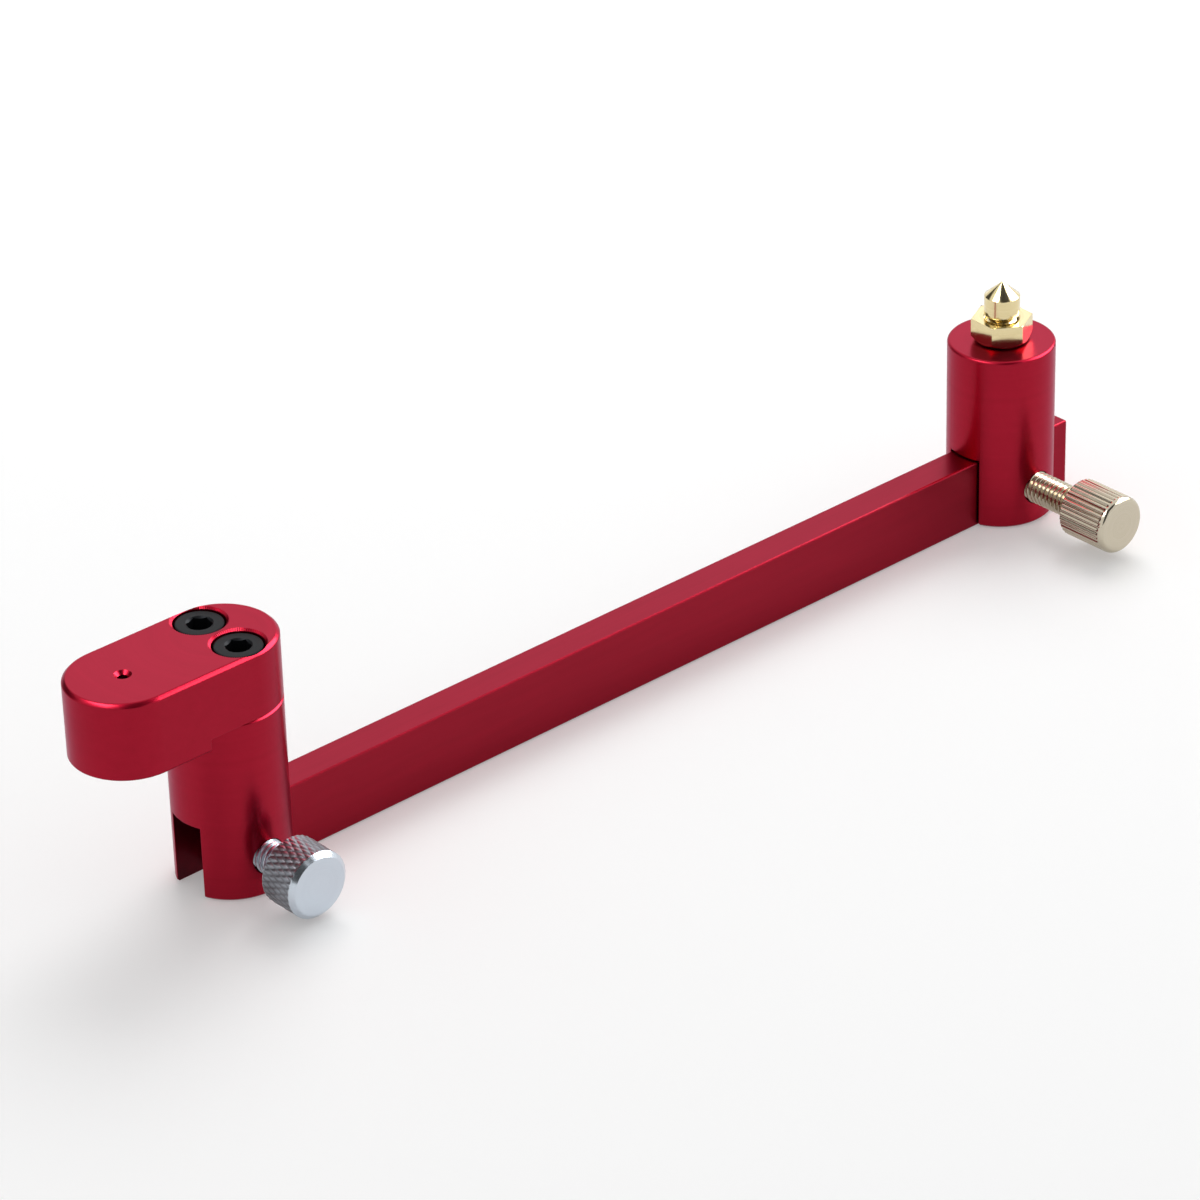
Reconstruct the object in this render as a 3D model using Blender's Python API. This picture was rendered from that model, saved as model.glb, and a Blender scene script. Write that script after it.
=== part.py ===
"""Circle ruler: a beam compass with a pointed head and a foot head on one flat bar.

The bar lies along X with its lower edge on z = 0. Both heads are slotted cylinders that
straddle the bar from above. A thumb screw on the -Y side of each head presses a small pad
on the bar. The point and the foot plate are on the +Z side.
"""

import math
from typing import NamedTuple

import bmesh
import bpy

MM = 0.001

# Clearance between neighbouring pieces, and how far a cut runs past its face
GAP = 0.3 * MM
OVERRUN = 1.0 * MM

# Bar
BAR_LENGTH = 200.0 * MM
BAR_HEIGHT = 13.2 * MM
BAR_THICKNESS = 6.6 * MM
BAR_EDGE = 0.3 * MM

# Both head cylinders, which stand on the bar with their slots open downwards
HEAD_DIAMETER = 20.0 * MM
POINT_HEAD_SOLID_LENGTH = 20.8 * MM
FOOT_HEAD_SOLID_LENGTH = 20.2 * MM
HEAD_EDGE = 0.4 * MM
POINT_HEAD_ROUND = 0.6 * MM

# Places of the head axes, counted from the ends of the bar
POINT_HEAD_INSET = 14.5 * MM
FOOT_HEAD_INSET = 2.5 * MM

# Clamping thread, common to both thumb screws
CLAMP_THREAD_DIAMETER = 6.0 * MM
CLAMP_TIP_CHAMFER = 0.5 * MM
CLAMP_RISE = 0.4 * MM

# Pads between the thumb screws and the bar
PAD_DIAMETER = 4.4 * MM
PAD_THICKNESS = 1.0 * MM
PAD_EDGE = 0.2 * MM
PAD_PIN_DIAMETER = 1.6 * MM
PAD_PIN_LENGTH = 2.0 * MM

# Fluted thumb screw of the point head
POINT_KNOB_DIAMETER = 11.2 * MM
POINT_KNOB_LENGTH = 10.8 * MM
POINT_KNOB_STANDOFF = 10.2 * MM
POINT_KNOB_ROUND = 0.9 * MM
POINT_KNOB_ROUND_DEPTH = 0.7 * MM
POINT_KNOB_CHAMFER = 0.4 * MM
FLUTE_DEPTH = 0.35 * MM
FLUTES = 36

# Cross-knurled thumb screw of the foot head
FOOT_KNOB_DIAMETER = 12.2 * MM
FOOT_KNOB_LENGTH = 7.7 * MM
FOOT_KNOB_STANDOFF = 5.2 * MM
FOOT_KNOB_CHAMFER = 0.7 * MM
DIAMOND_DEPTH = 0.3 * MM
DIAMONDS_AROUND = 36
DIAMOND_ROWS = 6

# Brass point and its lock nut
POINT_THREAD_DIAMETER = 6.0 * MM
POINT_THREAD_LENGTH = 12.0 * MM
POINT_THREAD_CHAMFER = 0.6 * MM
POINT_NECK_DIAMETER = 5.0 * MM
POINT_NECK_LENGTH = 0.6 * MM
POINT_NOSE_DIAMETER = 6.6 * MM
POINT_NOSE_LENGTH = 3.7 * MM
POINT_NOSE_EDGE = 0.15 * MM
POINT_CONE_HEIGHT = 2.8 * MM
POINT_TIP_DIAMETER = 0.2 * MM
NUT_ACROSS_FLATS = 10.0 * MM
NUT_THICKNESS = 4.3 * MM
NUT_CORNER_CHAMFER = 0.55 * MM

# Foot plate
PLATE_REACH = 19.7 * MM
PLATE_THICKNESS = 14.2 * MM
PLATE_REBATE = 2.4 * MM
PLATE_EDGE = 0.4 * MM
PLATE_HOLE_DIAMETER = 1.8 * MM
PLATE_HOLE_MOUTH = 3.0 * MM
PLATE_HOLE_CHAMFER = 0.6 * MM

# Socket-head cap screws that hold the foot plate
CAP_SPACING = 10.2 * MM
CAP_THREAD_DIAMETER = 5.0 * MM
CAP_SHANK_LENGTH = 16.0 * MM
CAP_HEAD_DIAMETER = 8.4 * MM
CAP_HEAD_HEIGHT = 5.0 * MM
CAP_HEAD_EDGE = 0.3 * MM
CAP_HEAD_DEPTH = 0.45 * MM
CAP_SOCKET_ACROSS_FLATS = 4.0 * MM
CAP_SOCKET_DEPTH = 2.5 * MM

# Turns of the hexagons about their own axes
NUT_TURN = math.radians(26)
SOCKET_TURN = math.radians(20)

# Facets around each kind of round piece
HEAD_FACETS = 96
ARC_FACETS = 40
SMALL_FACETS = 32
HOLE_FACETS = 32
ROUND_STEPS = 3

# Sizes that follow from the ones above
HEAD_RADIUS = HEAD_DIAMETER / 2
SLOT_WIDTH = BAR_THICKNESS + 2 * GAP
SLOT_DEPTH = BAR_HEIGHT + GAP
POINT_HEAD_LENGTH = SLOT_DEPTH + POINT_HEAD_SOLID_LENGTH
FOOT_HEAD_LENGTH = SLOT_DEPTH + FOOT_HEAD_SOLID_LENGTH
CLAMP_HEIGHT = BAR_HEIGHT / 2 + CLAMP_RISE
POINT_HEAD_X = BAR_LENGTH / 2 - POINT_HEAD_INSET
FOOT_HEAD_X = FOOT_HEAD_INSET - BAR_LENGTH / 2
PLATE_SEAT = FOOT_HEAD_LENGTH + GAP
PLATE_TOP = PLATE_SEAT + PLATE_THICKNESS - PLATE_REBATE


class Ring(NamedTuple):
    """One ring of a turned piece: where it lies, and how deep every second vertex is sunk."""

    radius: float
    height: float
    sunk: float = 0.0
    shift: int = 0


def finish(name, colour, roughness, metallic):
    """Return a plain metal finish."""
    material = bpy.data.materials.new(name)
    material.use_nodes = True
    shader = material.node_tree.nodes["Principled BSDF"]
    shader.inputs["Base Color"].default_value = (*colour, 1.0)
    shader.inputs["Roughness"].default_value = roughness
    shader.inputs["Metallic"].default_value = metallic
    return material


def lofted(rings):
    """Join rings of points into one closed solid. A ring of one point is a pole."""
    bm = bmesh.new()
    loops = [[bm.verts.new(point) for point in ring] for ring in rings]
    for lower, upper in zip(loops, loops[1:]):
        count = max(len(lower), len(upper))
        for step in range(count):
            after = (step + 1) % count
            if len(lower) == 1:
                bm.faces.new((lower[0], upper[after], upper[step]))
            elif len(upper) == 1:
                bm.faces.new((lower[step], lower[after], upper[0]))
            else:
                bm.faces.new((lower[step], lower[after], upper[after], upper[step]))
    for loop in (loops[0], loops[-1]):
        if len(loop) > 1:
            bm.faces.new(loop)
    bmesh.ops.recalc_face_normals(bm, faces=bm.faces)
    return bm


def circle(radius, height, steps, turn=0.0, sunk=0.0, shift=0):
    """Return points around Z, every second one sunk towards the axis."""
    if radius == 0:
        return [(0.0, 0.0, height)]
    points = []
    for step in range(steps):
        angle = turn + math.tau * step / steps
        reach = radius - sunk * ((step + shift) % 2)
        points.append((reach * math.cos(angle), reach * math.sin(angle), height))
    return points


def obround(radius, reach, height):
    """Return points around a slot shape whose second centre lies at -reach on X."""
    points = []
    for centre, start in ((0.0, -math.pi / 2), (-reach, math.pi / 2)):
        for step in range(ARC_FACETS + 1):
            angle = start + math.pi * step / ARC_FACETS
            points.append((centre + radius * math.cos(angle), radius * math.sin(angle), height))
    return points


def turned(rings, steps):
    """Return a solid of revolution about Z from its rings, bottom to top."""
    return lofted([circle(ring.radius, ring.height, steps, 0.0, ring.sunk, ring.shift) for ring in rings])


def hexagon(across_flats, low, high, turn):
    """Return a hexagonal prism about Z whose first corner is turned from X."""
    corner_radius = across_flats / math.sqrt(3)
    return lofted([circle(corner_radius, height, 6, turn) for height in (low, high)])


def rounded(radius, top, inset, depth):
    """Return the rings of a rounded front edge, from its start on the side to the flat face."""
    rings = []
    for step in range(ROUND_STEPS + 1):
        angle = math.pi / 2 * step / ROUND_STEPS
        rings.append(Ring(radius - inset * (1 - math.cos(angle)), top - depth * (1 - math.sin(angle))))
    return rings


def block(low, high):
    """Return a box between two corners."""
    return lofted([
        [(low[0], low[1], z), (high[0], low[1], z), (high[0], high[1], z), (low[0], high[1], z)]
        for z in (low[2], high[2])
    ])


def place(name, bm, carrier=None, location=(0.0, 0.0, 0.0), tilt=0.0):
    """Make an object of a mesh and put it on its carrier, tilted about X."""
    mesh = bpy.data.meshes.new(name)
    bm.to_mesh(mesh)
    bm.free()
    mesh.shade_smooth()
    mesh.set_sharp_from_angle(angle=math.radians(30))
    piece = bpy.data.objects.new(name, mesh)
    bpy.context.scene.collection.objects.link(piece)
    piece.parent = carrier
    piece.location = location
    piece.rotation_euler = (tilt, 0.0, 0.0)
    return piece


def dress(piece, material):
    """Give a piece its finish."""
    piece.data.materials.append(material)
    return piece


def shape(piece, guide, operation="DIFFERENCE"):
    """Cut a piece with a guide, or keep what they share, and hide the guide."""
    guide.hide_render = True
    guide.display_type = "WIRE"
    modifier = piece.modifiers.new(guide.name, "BOOLEAN")
    modifier.operation = operation
    modifier.solver = "EXACT"
    modifier.object = guide


def axis_empty(name, x):
    """Return an empty on a head's axis, at the bar's lower edge."""
    empty = bpy.data.objects.new(name, None)
    bpy.context.scene.collection.objects.link(empty)
    empty.location = (x, 0.0, 0.0)
    return empty


def make_bar(material):
    """Make the flat bar that both heads ride on."""
    low = (-BAR_LENGTH / 2, -BAR_THICKNESS / 2, 0.0)
    high = (BAR_LENGTH / 2, BAR_THICKNESS / 2, BAR_HEIGHT)
    bar = dress(place("beam", block(low, high)), material)
    bevel = bar.modifiers.new("edge", "BEVEL")
    bevel.width = BAR_EDGE
    bevel.segments = 2


def make_head(name, length, top_round, carrier, material):
    """Make a slotted cylinder with the tapped hole for its thumb screw."""
    rings = [
        Ring(0.0, 0.0),
        Ring(HEAD_RADIUS - HEAD_EDGE, 0.0),
        Ring(HEAD_RADIUS, HEAD_EDGE),
    ]
    rings.extend(rounded(HEAD_RADIUS, length, top_round, top_round))
    rings.append(Ring(0.0, length))
    head = dress(place(name, turned(rings, HEAD_FACETS), carrier), material)
    reach = HEAD_RADIUS + OVERRUN
    side = SLOT_WIDTH / 2
    slot = block((-reach, -side, -OVERRUN), (reach, side, SLOT_DEPTH))
    shape(head, place(name + "_slot_guide", slot, carrier))
    hole_radius = CLAMP_THREAD_DIAMETER / 2 + GAP
    hole = turned((Ring(hole_radius, 0.0), Ring(hole_radius, reach)), HOLE_FACETS)
    guide = place(name + "_clamp_guide", hole, carrier, (0.0, 0.0, CLAMP_HEIGHT), math.pi / 2)
    shape(head, guide)
    return head


def bore_head(head, carrier, y, diameter, low, high):
    """Drill a hole from the top of a head, beside its axis or on it."""
    radius = diameter / 2 + GAP
    hole = turned((Ring(radius, low), Ring(radius, high + OVERRUN)), HOLE_FACETS)
    shape(head, place("bore_guide", hole, carrier, (0.0, y, 0.0)))


def stem_rings():
    """Return the rings of a clamping stem from the bore in its tip, counted from the head's axis."""
    tip = BAR_THICKNESS / 2 + 2 * GAP + PAD_THICKNESS
    bore_radius = PAD_PIN_DIAMETER / 2 + GAP
    bore_end = tip + PAD_PIN_LENGTH
    radius = CLAMP_THREAD_DIAMETER / 2
    return [
        Ring(0.0, bore_end),
        Ring(bore_radius, bore_end),
        Ring(bore_radius, tip),
        Ring(radius - CLAMP_TIP_CHAMFER, tip),
        Ring(radius, tip + CLAMP_TIP_CHAMFER),
    ]


def make_point_screw(carrier, material):
    """Make the thumb screw with straight flutes and a rounded front edge."""
    back = HEAD_RADIUS + POINT_KNOB_STANDOFF
    front = back + POINT_KNOB_LENGTH
    radius = POINT_KNOB_DIAMETER / 2
    waist = radius - FLUTE_DEPTH
    rings = stem_rings()
    rings.append(Ring(CLAMP_THREAD_DIAMETER / 2, back))
    rings.append(Ring(waist - POINT_KNOB_CHAMFER, back))
    rings.append(Ring(radius, back + POINT_KNOB_CHAMFER + FLUTE_DEPTH, FLUTE_DEPTH))
    rings.append(Ring(radius, front - POINT_KNOB_ROUND_DEPTH - FLUTE_DEPTH, FLUTE_DEPTH))
    rings.extend(rounded(waist, front, POINT_KNOB_ROUND, POINT_KNOB_ROUND_DEPTH))
    rings.append(Ring(0.0, front))
    mesh = turned(rings, 2 * FLUTES)
    screw = place("point_thumb_screw", mesh, carrier, (0.0, 0.0, CLAMP_HEIGHT), math.pi / 2)
    dress(screw, material)


def make_foot_screw(carrier, material):
    """Make the thumb screw with a diamond knurl and a chamfered front edge."""
    back = HEAD_RADIUS + FOOT_KNOB_STANDOFF
    front = back + FOOT_KNOB_LENGTH
    radius = FOOT_KNOB_DIAMETER / 2
    waist = radius - DIAMOND_DEPTH
    knurl_low = back + FOOT_KNOB_CHAMFER
    knurl_high = front - FOOT_KNOB_CHAMFER
    rings = stem_rings()
    rings.append(Ring(CLAMP_THREAD_DIAMETER / 2, back))
    rings.append(Ring(waist - FOOT_KNOB_CHAMFER, back))
    for row in range(DIAMOND_ROWS + 1):
        height = knurl_low + (knurl_high - knurl_low) * row / DIAMOND_ROWS
        rings.append(Ring(radius, height, DIAMOND_DEPTH, row % 2))
    rings.append(Ring(waist - FOOT_KNOB_CHAMFER, front))
    rings.append(Ring(0.0, front))
    mesh = turned(rings, 2 * DIAMONDS_AROUND)
    screw = place("foot_thumb_screw", mesh, carrier, (0.0, 0.0, CLAMP_HEIGHT), math.pi / 2)
    dress(screw, material)


def make_pad(name, carrier, material):
    """Make the pad that swivels on a pin in the tip of its thumb screw."""
    low = BAR_THICKNESS / 2 + GAP
    high = low + PAD_THICKNESS
    radius = PAD_DIAMETER / 2
    pin_radius = PAD_PIN_DIAMETER / 2
    rings = (
        Ring(0.0, low),
        Ring(radius - PAD_EDGE, low),
        Ring(radius, low + PAD_EDGE),
        Ring(radius, high - PAD_EDGE),
        Ring(radius - PAD_EDGE, high),
        Ring(pin_radius, high),
        Ring(pin_radius, high + PAD_PIN_LENGTH - PAD_EDGE),
        Ring(pin_radius - PAD_EDGE, high + PAD_PIN_LENGTH),
        Ring(0.0, high + PAD_PIN_LENGTH),
    )
    mesh = turned(rings, SMALL_FACETS)
    pad = place(name, mesh, carrier, (0.0, 0.0, CLAMP_HEIGHT), math.pi / 2)
    dress(pad, material)


def make_point(carrier, material):
    """Make the brass point, from the end of its thread to the ground cone."""
    thread_radius = POINT_THREAD_DIAMETER / 2
    neck_radius = POINT_NECK_DIAMETER / 2
    nose_radius = POINT_NOSE_DIAMETER / 2
    foot = POINT_HEAD_LENGTH - POINT_THREAD_LENGTH
    nut_top = POINT_HEAD_LENGTH + GAP + NUT_THICKNESS
    nose = nut_top + POINT_NECK_LENGTH
    cone = nose + POINT_NOSE_LENGTH
    rings = (
        Ring(0.0, foot),
        Ring(thread_radius - POINT_THREAD_CHAMFER, foot),
        Ring(thread_radius, foot + POINT_THREAD_CHAMFER),
        Ring(thread_radius, nut_top),
        Ring(neck_radius, nut_top),
        Ring(neck_radius, nose),
        Ring(nose_radius - POINT_NOSE_EDGE, nose),
        Ring(nose_radius, nose + POINT_NOSE_EDGE),
        Ring(nose_radius, cone),
        Ring(POINT_TIP_DIAMETER / 2, cone + POINT_CONE_HEIGHT),
        Ring(0.0, cone + POINT_CONE_HEIGHT),
    )
    dress(place("point_stud", turned(rings, SMALL_FACETS), carrier), material)


def make_lock_nut(carrier, material):
    """Make the hexagon nut that locks the point against the head."""
    low = POINT_HEAD_LENGTH + GAP
    high = low + NUT_THICKNESS
    mesh = hexagon(NUT_ACROSS_FLATS, low, high, NUT_TURN)
    nut = dress(place("point_lock_nut", mesh, carrier), material)
    corner = NUT_ACROSS_FLATS / math.sqrt(3)
    rings = (
        Ring(NUT_ACROSS_FLATS / 2, low),
        Ring(corner, low + NUT_CORNER_CHAMFER),
        Ring(corner, high - NUT_CORNER_CHAMFER),
        Ring(NUT_ACROSS_FLATS / 2, high),
    )
    shape(nut, place("nut_corner_guide", turned(rings, HEAD_FACETS), carrier), "INTERSECT")
    radius = POINT_THREAD_DIAMETER / 2 + GAP
    bore = turned((Ring(radius, low - OVERRUN), Ring(radius, high + OVERRUN)), SMALL_FACETS)
    shape(nut, place("nut_bore_guide", bore, carrier))


def make_plate(carrier, material):
    """Make the foot plate with its rebate, its counterbored holes and its small hole."""
    low = PLATE_TOP - PLATE_THICKNESS
    inner = HEAD_RADIUS - PLATE_EDGE
    rings = [
        obround(inner, PLATE_REACH, low),
        obround(HEAD_RADIUS, PLATE_REACH, low + PLATE_EDGE),
        obround(HEAD_RADIUS, PLATE_REACH, PLATE_TOP - PLATE_EDGE),
        obround(inner, PLATE_REACH, PLATE_TOP),
    ]
    plate = dress(place("foot_plate", lofted(rings), carrier), material)
    reach = HEAD_RADIUS + OVERRUN
    shoulder = -HEAD_RADIUS - GAP
    rebate = block((shoulder, -reach, low - OVERRUN), (reach, reach, PLATE_SEAT))
    shape(plate, place("plate_rebate_guide", rebate, carrier))
    seat = PLATE_TOP - CAP_HEAD_DEPTH - CAP_HEAD_HEIGHT - GAP
    shank_radius = CAP_THREAD_DIAMETER / 2 + GAP
    head_radius = CAP_HEAD_DIAMETER / 2 + GAP
    rings = (
        Ring(shank_radius, PLATE_SEAT - OVERRUN),
        Ring(shank_radius, seat),
        Ring(head_radius, seat),
        Ring(head_radius, PLATE_TOP + OVERRUN),
    )
    for side in (-1, 1):
        y = side * CAP_SPACING / 2
        shape(plate, place("plate_cap_guide", turned(rings, HOLE_FACETS), carrier, (0.0, y, 0.0)))
    hole_radius = PLATE_HOLE_DIAMETER / 2
    mouth_radius = PLATE_HOLE_MOUTH / 2
    slope = (mouth_radius - hole_radius) / PLATE_HOLE_CHAMFER
    rings = (
        Ring(hole_radius, low - OVERRUN),
        Ring(hole_radius, PLATE_TOP - PLATE_HOLE_CHAMFER),
        Ring(mouth_radius + slope * OVERRUN, PLATE_TOP + OVERRUN),
    )
    hole = turned(rings, SMALL_FACETS)
    shape(plate, place("plate_hole_guide", hole, carrier, (-PLATE_REACH, 0.0, 0.0)))


def make_cap_screw(name, y, carrier, material):
    """Make a socket-head cap screw, from the tip of its thread to its head."""
    top = PLATE_TOP - CAP_HEAD_DEPTH
    seat = top - CAP_HEAD_HEIGHT
    tip = seat - CAP_SHANK_LENGTH
    thread_radius = CAP_THREAD_DIAMETER / 2
    head_radius = CAP_HEAD_DIAMETER / 2
    rings = (
        Ring(0.0, tip),
        Ring(thread_radius - CAP_HEAD_EDGE, tip),
        Ring(thread_radius, tip + CAP_HEAD_EDGE),
        Ring(thread_radius, seat),
        Ring(head_radius, seat),
        Ring(head_radius, top - CAP_HEAD_EDGE),
        Ring(head_radius - CAP_HEAD_EDGE, top),
        Ring(0.0, top),
    )
    screw = dress(place(name, turned(rings, HOLE_FACETS), carrier, (0.0, y, 0.0)), material)
    floor = top - CAP_SOCKET_DEPTH
    socket = hexagon(CAP_SOCKET_ACROSS_FLATS, floor, top + OVERRUN, SOCKET_TURN)
    shape(screw, place(name + "_socket_guide", socket, carrier, (0.0, y, 0.0)))


def make_point_head(red, gold, brass):
    """Make everything that rides on the bar with the pointed head."""
    carrier = axis_empty("point_head_axis", POINT_HEAD_X)
    head = make_head("point_head", POINT_HEAD_LENGTH, POINT_HEAD_ROUND, carrier, red)
    low = POINT_HEAD_LENGTH - POINT_THREAD_LENGTH - GAP
    bore_head(head, carrier, 0.0, POINT_THREAD_DIAMETER, low, POINT_HEAD_LENGTH)
    make_point(carrier, brass)
    make_lock_nut(carrier, brass)
    make_point_screw(carrier, gold)
    make_pad("point_clamp_pad", carrier, brass)


def make_foot_head(red, bright, black, brass):
    """Make everything that rides on the bar with the foot head."""
    carrier = axis_empty("foot_head_axis", FOOT_HEAD_X)
    head = make_head("foot_head", FOOT_HEAD_LENGTH, HEAD_EDGE, carrier, red)
    low = PLATE_TOP - CAP_HEAD_DEPTH - CAP_HEAD_HEIGHT - CAP_SHANK_LENGTH - GAP
    for name, side in (("foot_screw_right", -1), ("foot_screw_left", 1)):
        y = side * CAP_SPACING / 2
        bore_head(head, carrier, y, CAP_THREAD_DIAMETER, low, FOOT_HEAD_LENGTH)
        make_cap_screw(name, y, carrier, black)
    make_plate(carrier, red)
    make_foot_screw(carrier, bright)
    make_pad("foot_clamp_pad", carrier, brass)


def main():
    """Clear the scene and build the whole tool."""
    for old in list(bpy.data.objects):
        bpy.data.objects.remove(old, do_unlink=True)
    red = finish("red_anodised_aluminium", (0.38, 0.022, 0.04), 0.34, 1.0)
    brass = finish("polished_brass", (0.79, 0.63, 0.30), 0.2, 1.0)
    gold = finish("pale_gold_plate", (0.80, 0.70, 0.50), 0.22, 1.0)
    bright = finish("bright_chrome", (0.72, 0.73, 0.75), 0.15, 1.0)
    black = finish("black_oxide_steel", (0.03, 0.03, 0.034), 0.45, 0.8)
    make_bar(red)
    make_point_head(red, gold, brass)
    make_foot_head(red, bright, black, brass)


main()
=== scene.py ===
"""Dresses the circle ruler: a flat red bar with a pointed head and a foot head.

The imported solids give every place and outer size. This script cuts the finer shapes, such as
threads, knurls, sockets and broken edges, gives every piece its metal finish, and sets up a
plain white studio with the camera.
"""

from __future__ import annotations

import logging
import math
from collections.abc import Iterable, Mapping, Sequence
from dataclasses import dataclass
from enum import Enum
from typing import NamedTuple

import bmesh
import bpy
from mathutils import Euler, Matrix, Vector


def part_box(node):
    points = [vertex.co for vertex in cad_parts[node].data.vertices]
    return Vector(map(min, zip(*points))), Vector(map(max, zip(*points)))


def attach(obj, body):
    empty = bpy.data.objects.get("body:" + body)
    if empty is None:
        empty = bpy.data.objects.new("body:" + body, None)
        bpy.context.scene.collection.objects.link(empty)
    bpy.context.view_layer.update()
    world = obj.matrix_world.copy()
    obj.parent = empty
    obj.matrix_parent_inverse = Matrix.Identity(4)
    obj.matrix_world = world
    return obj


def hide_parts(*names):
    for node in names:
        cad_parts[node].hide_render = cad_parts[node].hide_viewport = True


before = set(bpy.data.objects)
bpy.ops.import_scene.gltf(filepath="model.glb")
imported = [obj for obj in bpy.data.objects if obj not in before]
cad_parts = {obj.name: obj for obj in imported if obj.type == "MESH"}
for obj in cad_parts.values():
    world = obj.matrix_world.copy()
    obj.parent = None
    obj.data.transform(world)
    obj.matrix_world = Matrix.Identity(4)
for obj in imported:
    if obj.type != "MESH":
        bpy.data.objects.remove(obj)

log = logging.getLogger("circle_ruler")

MM = 0.001
MERGE = 1e-6
RECESS = "recess"
WHITE = (1.0, 1.0, 1.0, 1.0)
LARGE_FACES_LEAD = 90

# How far the ridges of a crossed knurl lean: 1 for 45 degrees.
KNURL_LEAN = 0.75

# A thread's form, in shares of half a pitch from the crest: where its root starts, how much of
# it is flank, and how far its rows are kept off the seam between two turns.
THREAD_ROOT_EDGE = 0.78
THREAD_FLANK = 0.62
THREAD_SEAM = 1e-5

# The numbers of the mix node's sockets for colours.
MIX_FACTOR = 0
MIX_FIRST = 6
MIX_SECOND = 7
MIX_RESULT = 2

# The outputs that tell which rays make a picture and don't light anything.
SEEING_RAYS = ("Is Camera Ray", "Is Glossy Ray", "Is Transmission Ray")

Colour = tuple[float, float, float]
Point = tuple[float, float, float]
Profile = Sequence[tuple[float, float]]


class Field:
    """A value that varies over a mesh or a surface, with the usual arithmetic."""

    def __init__(self, bench: NodeBench, socket: bpy.types.NodeSocket) -> None:
        """Wrap an output socket."""
        self.bench = bench
        self.socket = socket

    def __add__(self, other: Number) -> Field:
        """Return the sum."""
        return self.bench.math("ADD", self, other)

    def __sub__(self, other: Number) -> Field:
        """Return the difference."""
        return self.bench.math("SUBTRACT", self, other)

    def __rsub__(self, other: Number) -> Field:
        """Return the difference, taken from the other value."""
        return self.bench.math("SUBTRACT", other, self)

    def __mul__(self, other: Number) -> Field:
        """Return the product."""
        return self.bench.math("MULTIPLY", self, other)

    def __truediv__(self, other: Number) -> Field:
        """Return the quotient."""
        return self.bench.math("DIVIDE", self, other)

    def __pow__(self, other: Number) -> Field:
        """Return the power."""
        return self.bench.math("POWER", self, other)

    def __abs__(self) -> Field:
        """Return the size without its sign."""
        return self.bench.math("ABSOLUTE", self)

    def sine(self) -> Field:
        """Return the sine of an angle in radians."""
        return self.bench.math("SINE", self)

    def cosine(self) -> Field:
        """Return the cosine of an angle in radians."""
        return self.bench.math("COSINE", self)

    def fraction(self) -> Field:
        """Return what is left after the whole number below."""
        return self.bench.math("FRACT", self)

    def at_most(self, other: Number) -> Field:
        """Return the smaller of two values."""
        return self.bench.math("MINIMUM", self, other)

    def at_least(self, other: Number) -> Field:
        """Return the larger of two values."""
        return self.bench.math("MAXIMUM", self, other)

    def share(self) -> Field:
        """Return the value held between 0 and 1."""
        return self.at_least(0.0).at_most(1.0)

    def toward(self, other: Number, amount: Number) -> Field:
        """Return this value blended towards another by an amount from 0 to 1."""
        return self + (self * -1.0 + other) * amount


Number = Field | float | int


class NodeBench:
    """Adds nodes to one node tree and joins them as formulas."""

    def __init__(self, tree: bpy.types.NodeTree) -> None:
        """Take the tree to fill."""
        self.tree = tree

    def node(
        self,
        kind: str,
        settings: Mapping[str, object] | None = None,
        inputs: Mapping[str | int, object] | None = None,
    ) -> bpy.types.Node:
        """Add a node, set its options and feed its sockets.

        Args:
            kind: The node's type name.
            settings: Options by attribute name.
            inputs: Fields, sockets or plain values by socket name or number.

        Returns:
            The new node.
        """
        made = self.tree.nodes.new(kind)
        for name, value in (settings or {}).items():
            setattr(made, name, value)
        for key, value in (inputs or {}).items():
            self.feed(made.inputs[key], value)
        return made

    def feed(self, socket: bpy.types.NodeSocket, value: object) -> None:
        """Link a field or a socket to a socket, or set a plain value on it.

        Args:
            socket: The input socket.
            value: What it takes.
        """
        if isinstance(value, Field):
            self.tree.links.new(value.socket, socket)
        elif isinstance(value, bpy.types.NodeSocket):
            self.tree.links.new(value, socket)
        else:
            socket.default_value = value

    def math(self, operation: str, *values: Number) -> Field:
        """Return the result of one math node.

        Args:
            operation: The node's operation.
            values: Its values, in order.

        Returns:
            The result as a field.
        """
        inputs = dict(enumerate(values))
        made = self.node("ShaderNodeMath", {"operation": operation}, inputs)
        return Field(self, made.outputs[0])

    def split(self, vector: object) -> tuple[Field, Field, Field]:
        """Return the three parts of a vector."""
        parts = self.node("ShaderNodeSeparateXYZ", inputs={0: vector}).outputs
        return Field(self, parts[0]), Field(self, parts[1]), Field(self, parts[2])

    def joined(self, x: Number, y: Number, z: Number) -> bpy.types.NodeSocket:
        """Return a vector made of three values."""
        return self.node("ShaderNodeCombineXYZ", inputs={0: x, 1: y, 2: z}).outputs[0]

    def noise(self, vector: object, detail: float = 2.0) -> Field:
        """Return noise between about 0 and 1."""
        inputs = {"Vector": vector, "Scale": 1.0, "Detail": detail}
        return Field(self, self.node("ShaderNodeTexNoise", inputs=inputs).outputs[0])

    def colours(self, amount: Number, first: object, second: object) -> bpy.types.NodeSocket:
        """Return a colour between two colours."""
        inputs = {MIX_FACTOR: amount, MIX_FIRST: first, MIX_SECOND: second}
        return self.node("ShaderNodeMix", {"data_type": "RGBA"}, inputs).outputs[MIX_RESULT]

    def group(
        self,
        tree: bpy.types.NodeTree,
        inputs: Mapping[str | int, object],
    ) -> dict[str, Field]:
        """Add a group node and return what it puts out."""
        made = self.node("ShaderNodeGroup", {"node_tree": tree}, inputs)
        return {output.name: Field(self, output) for output in made.outputs}


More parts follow.
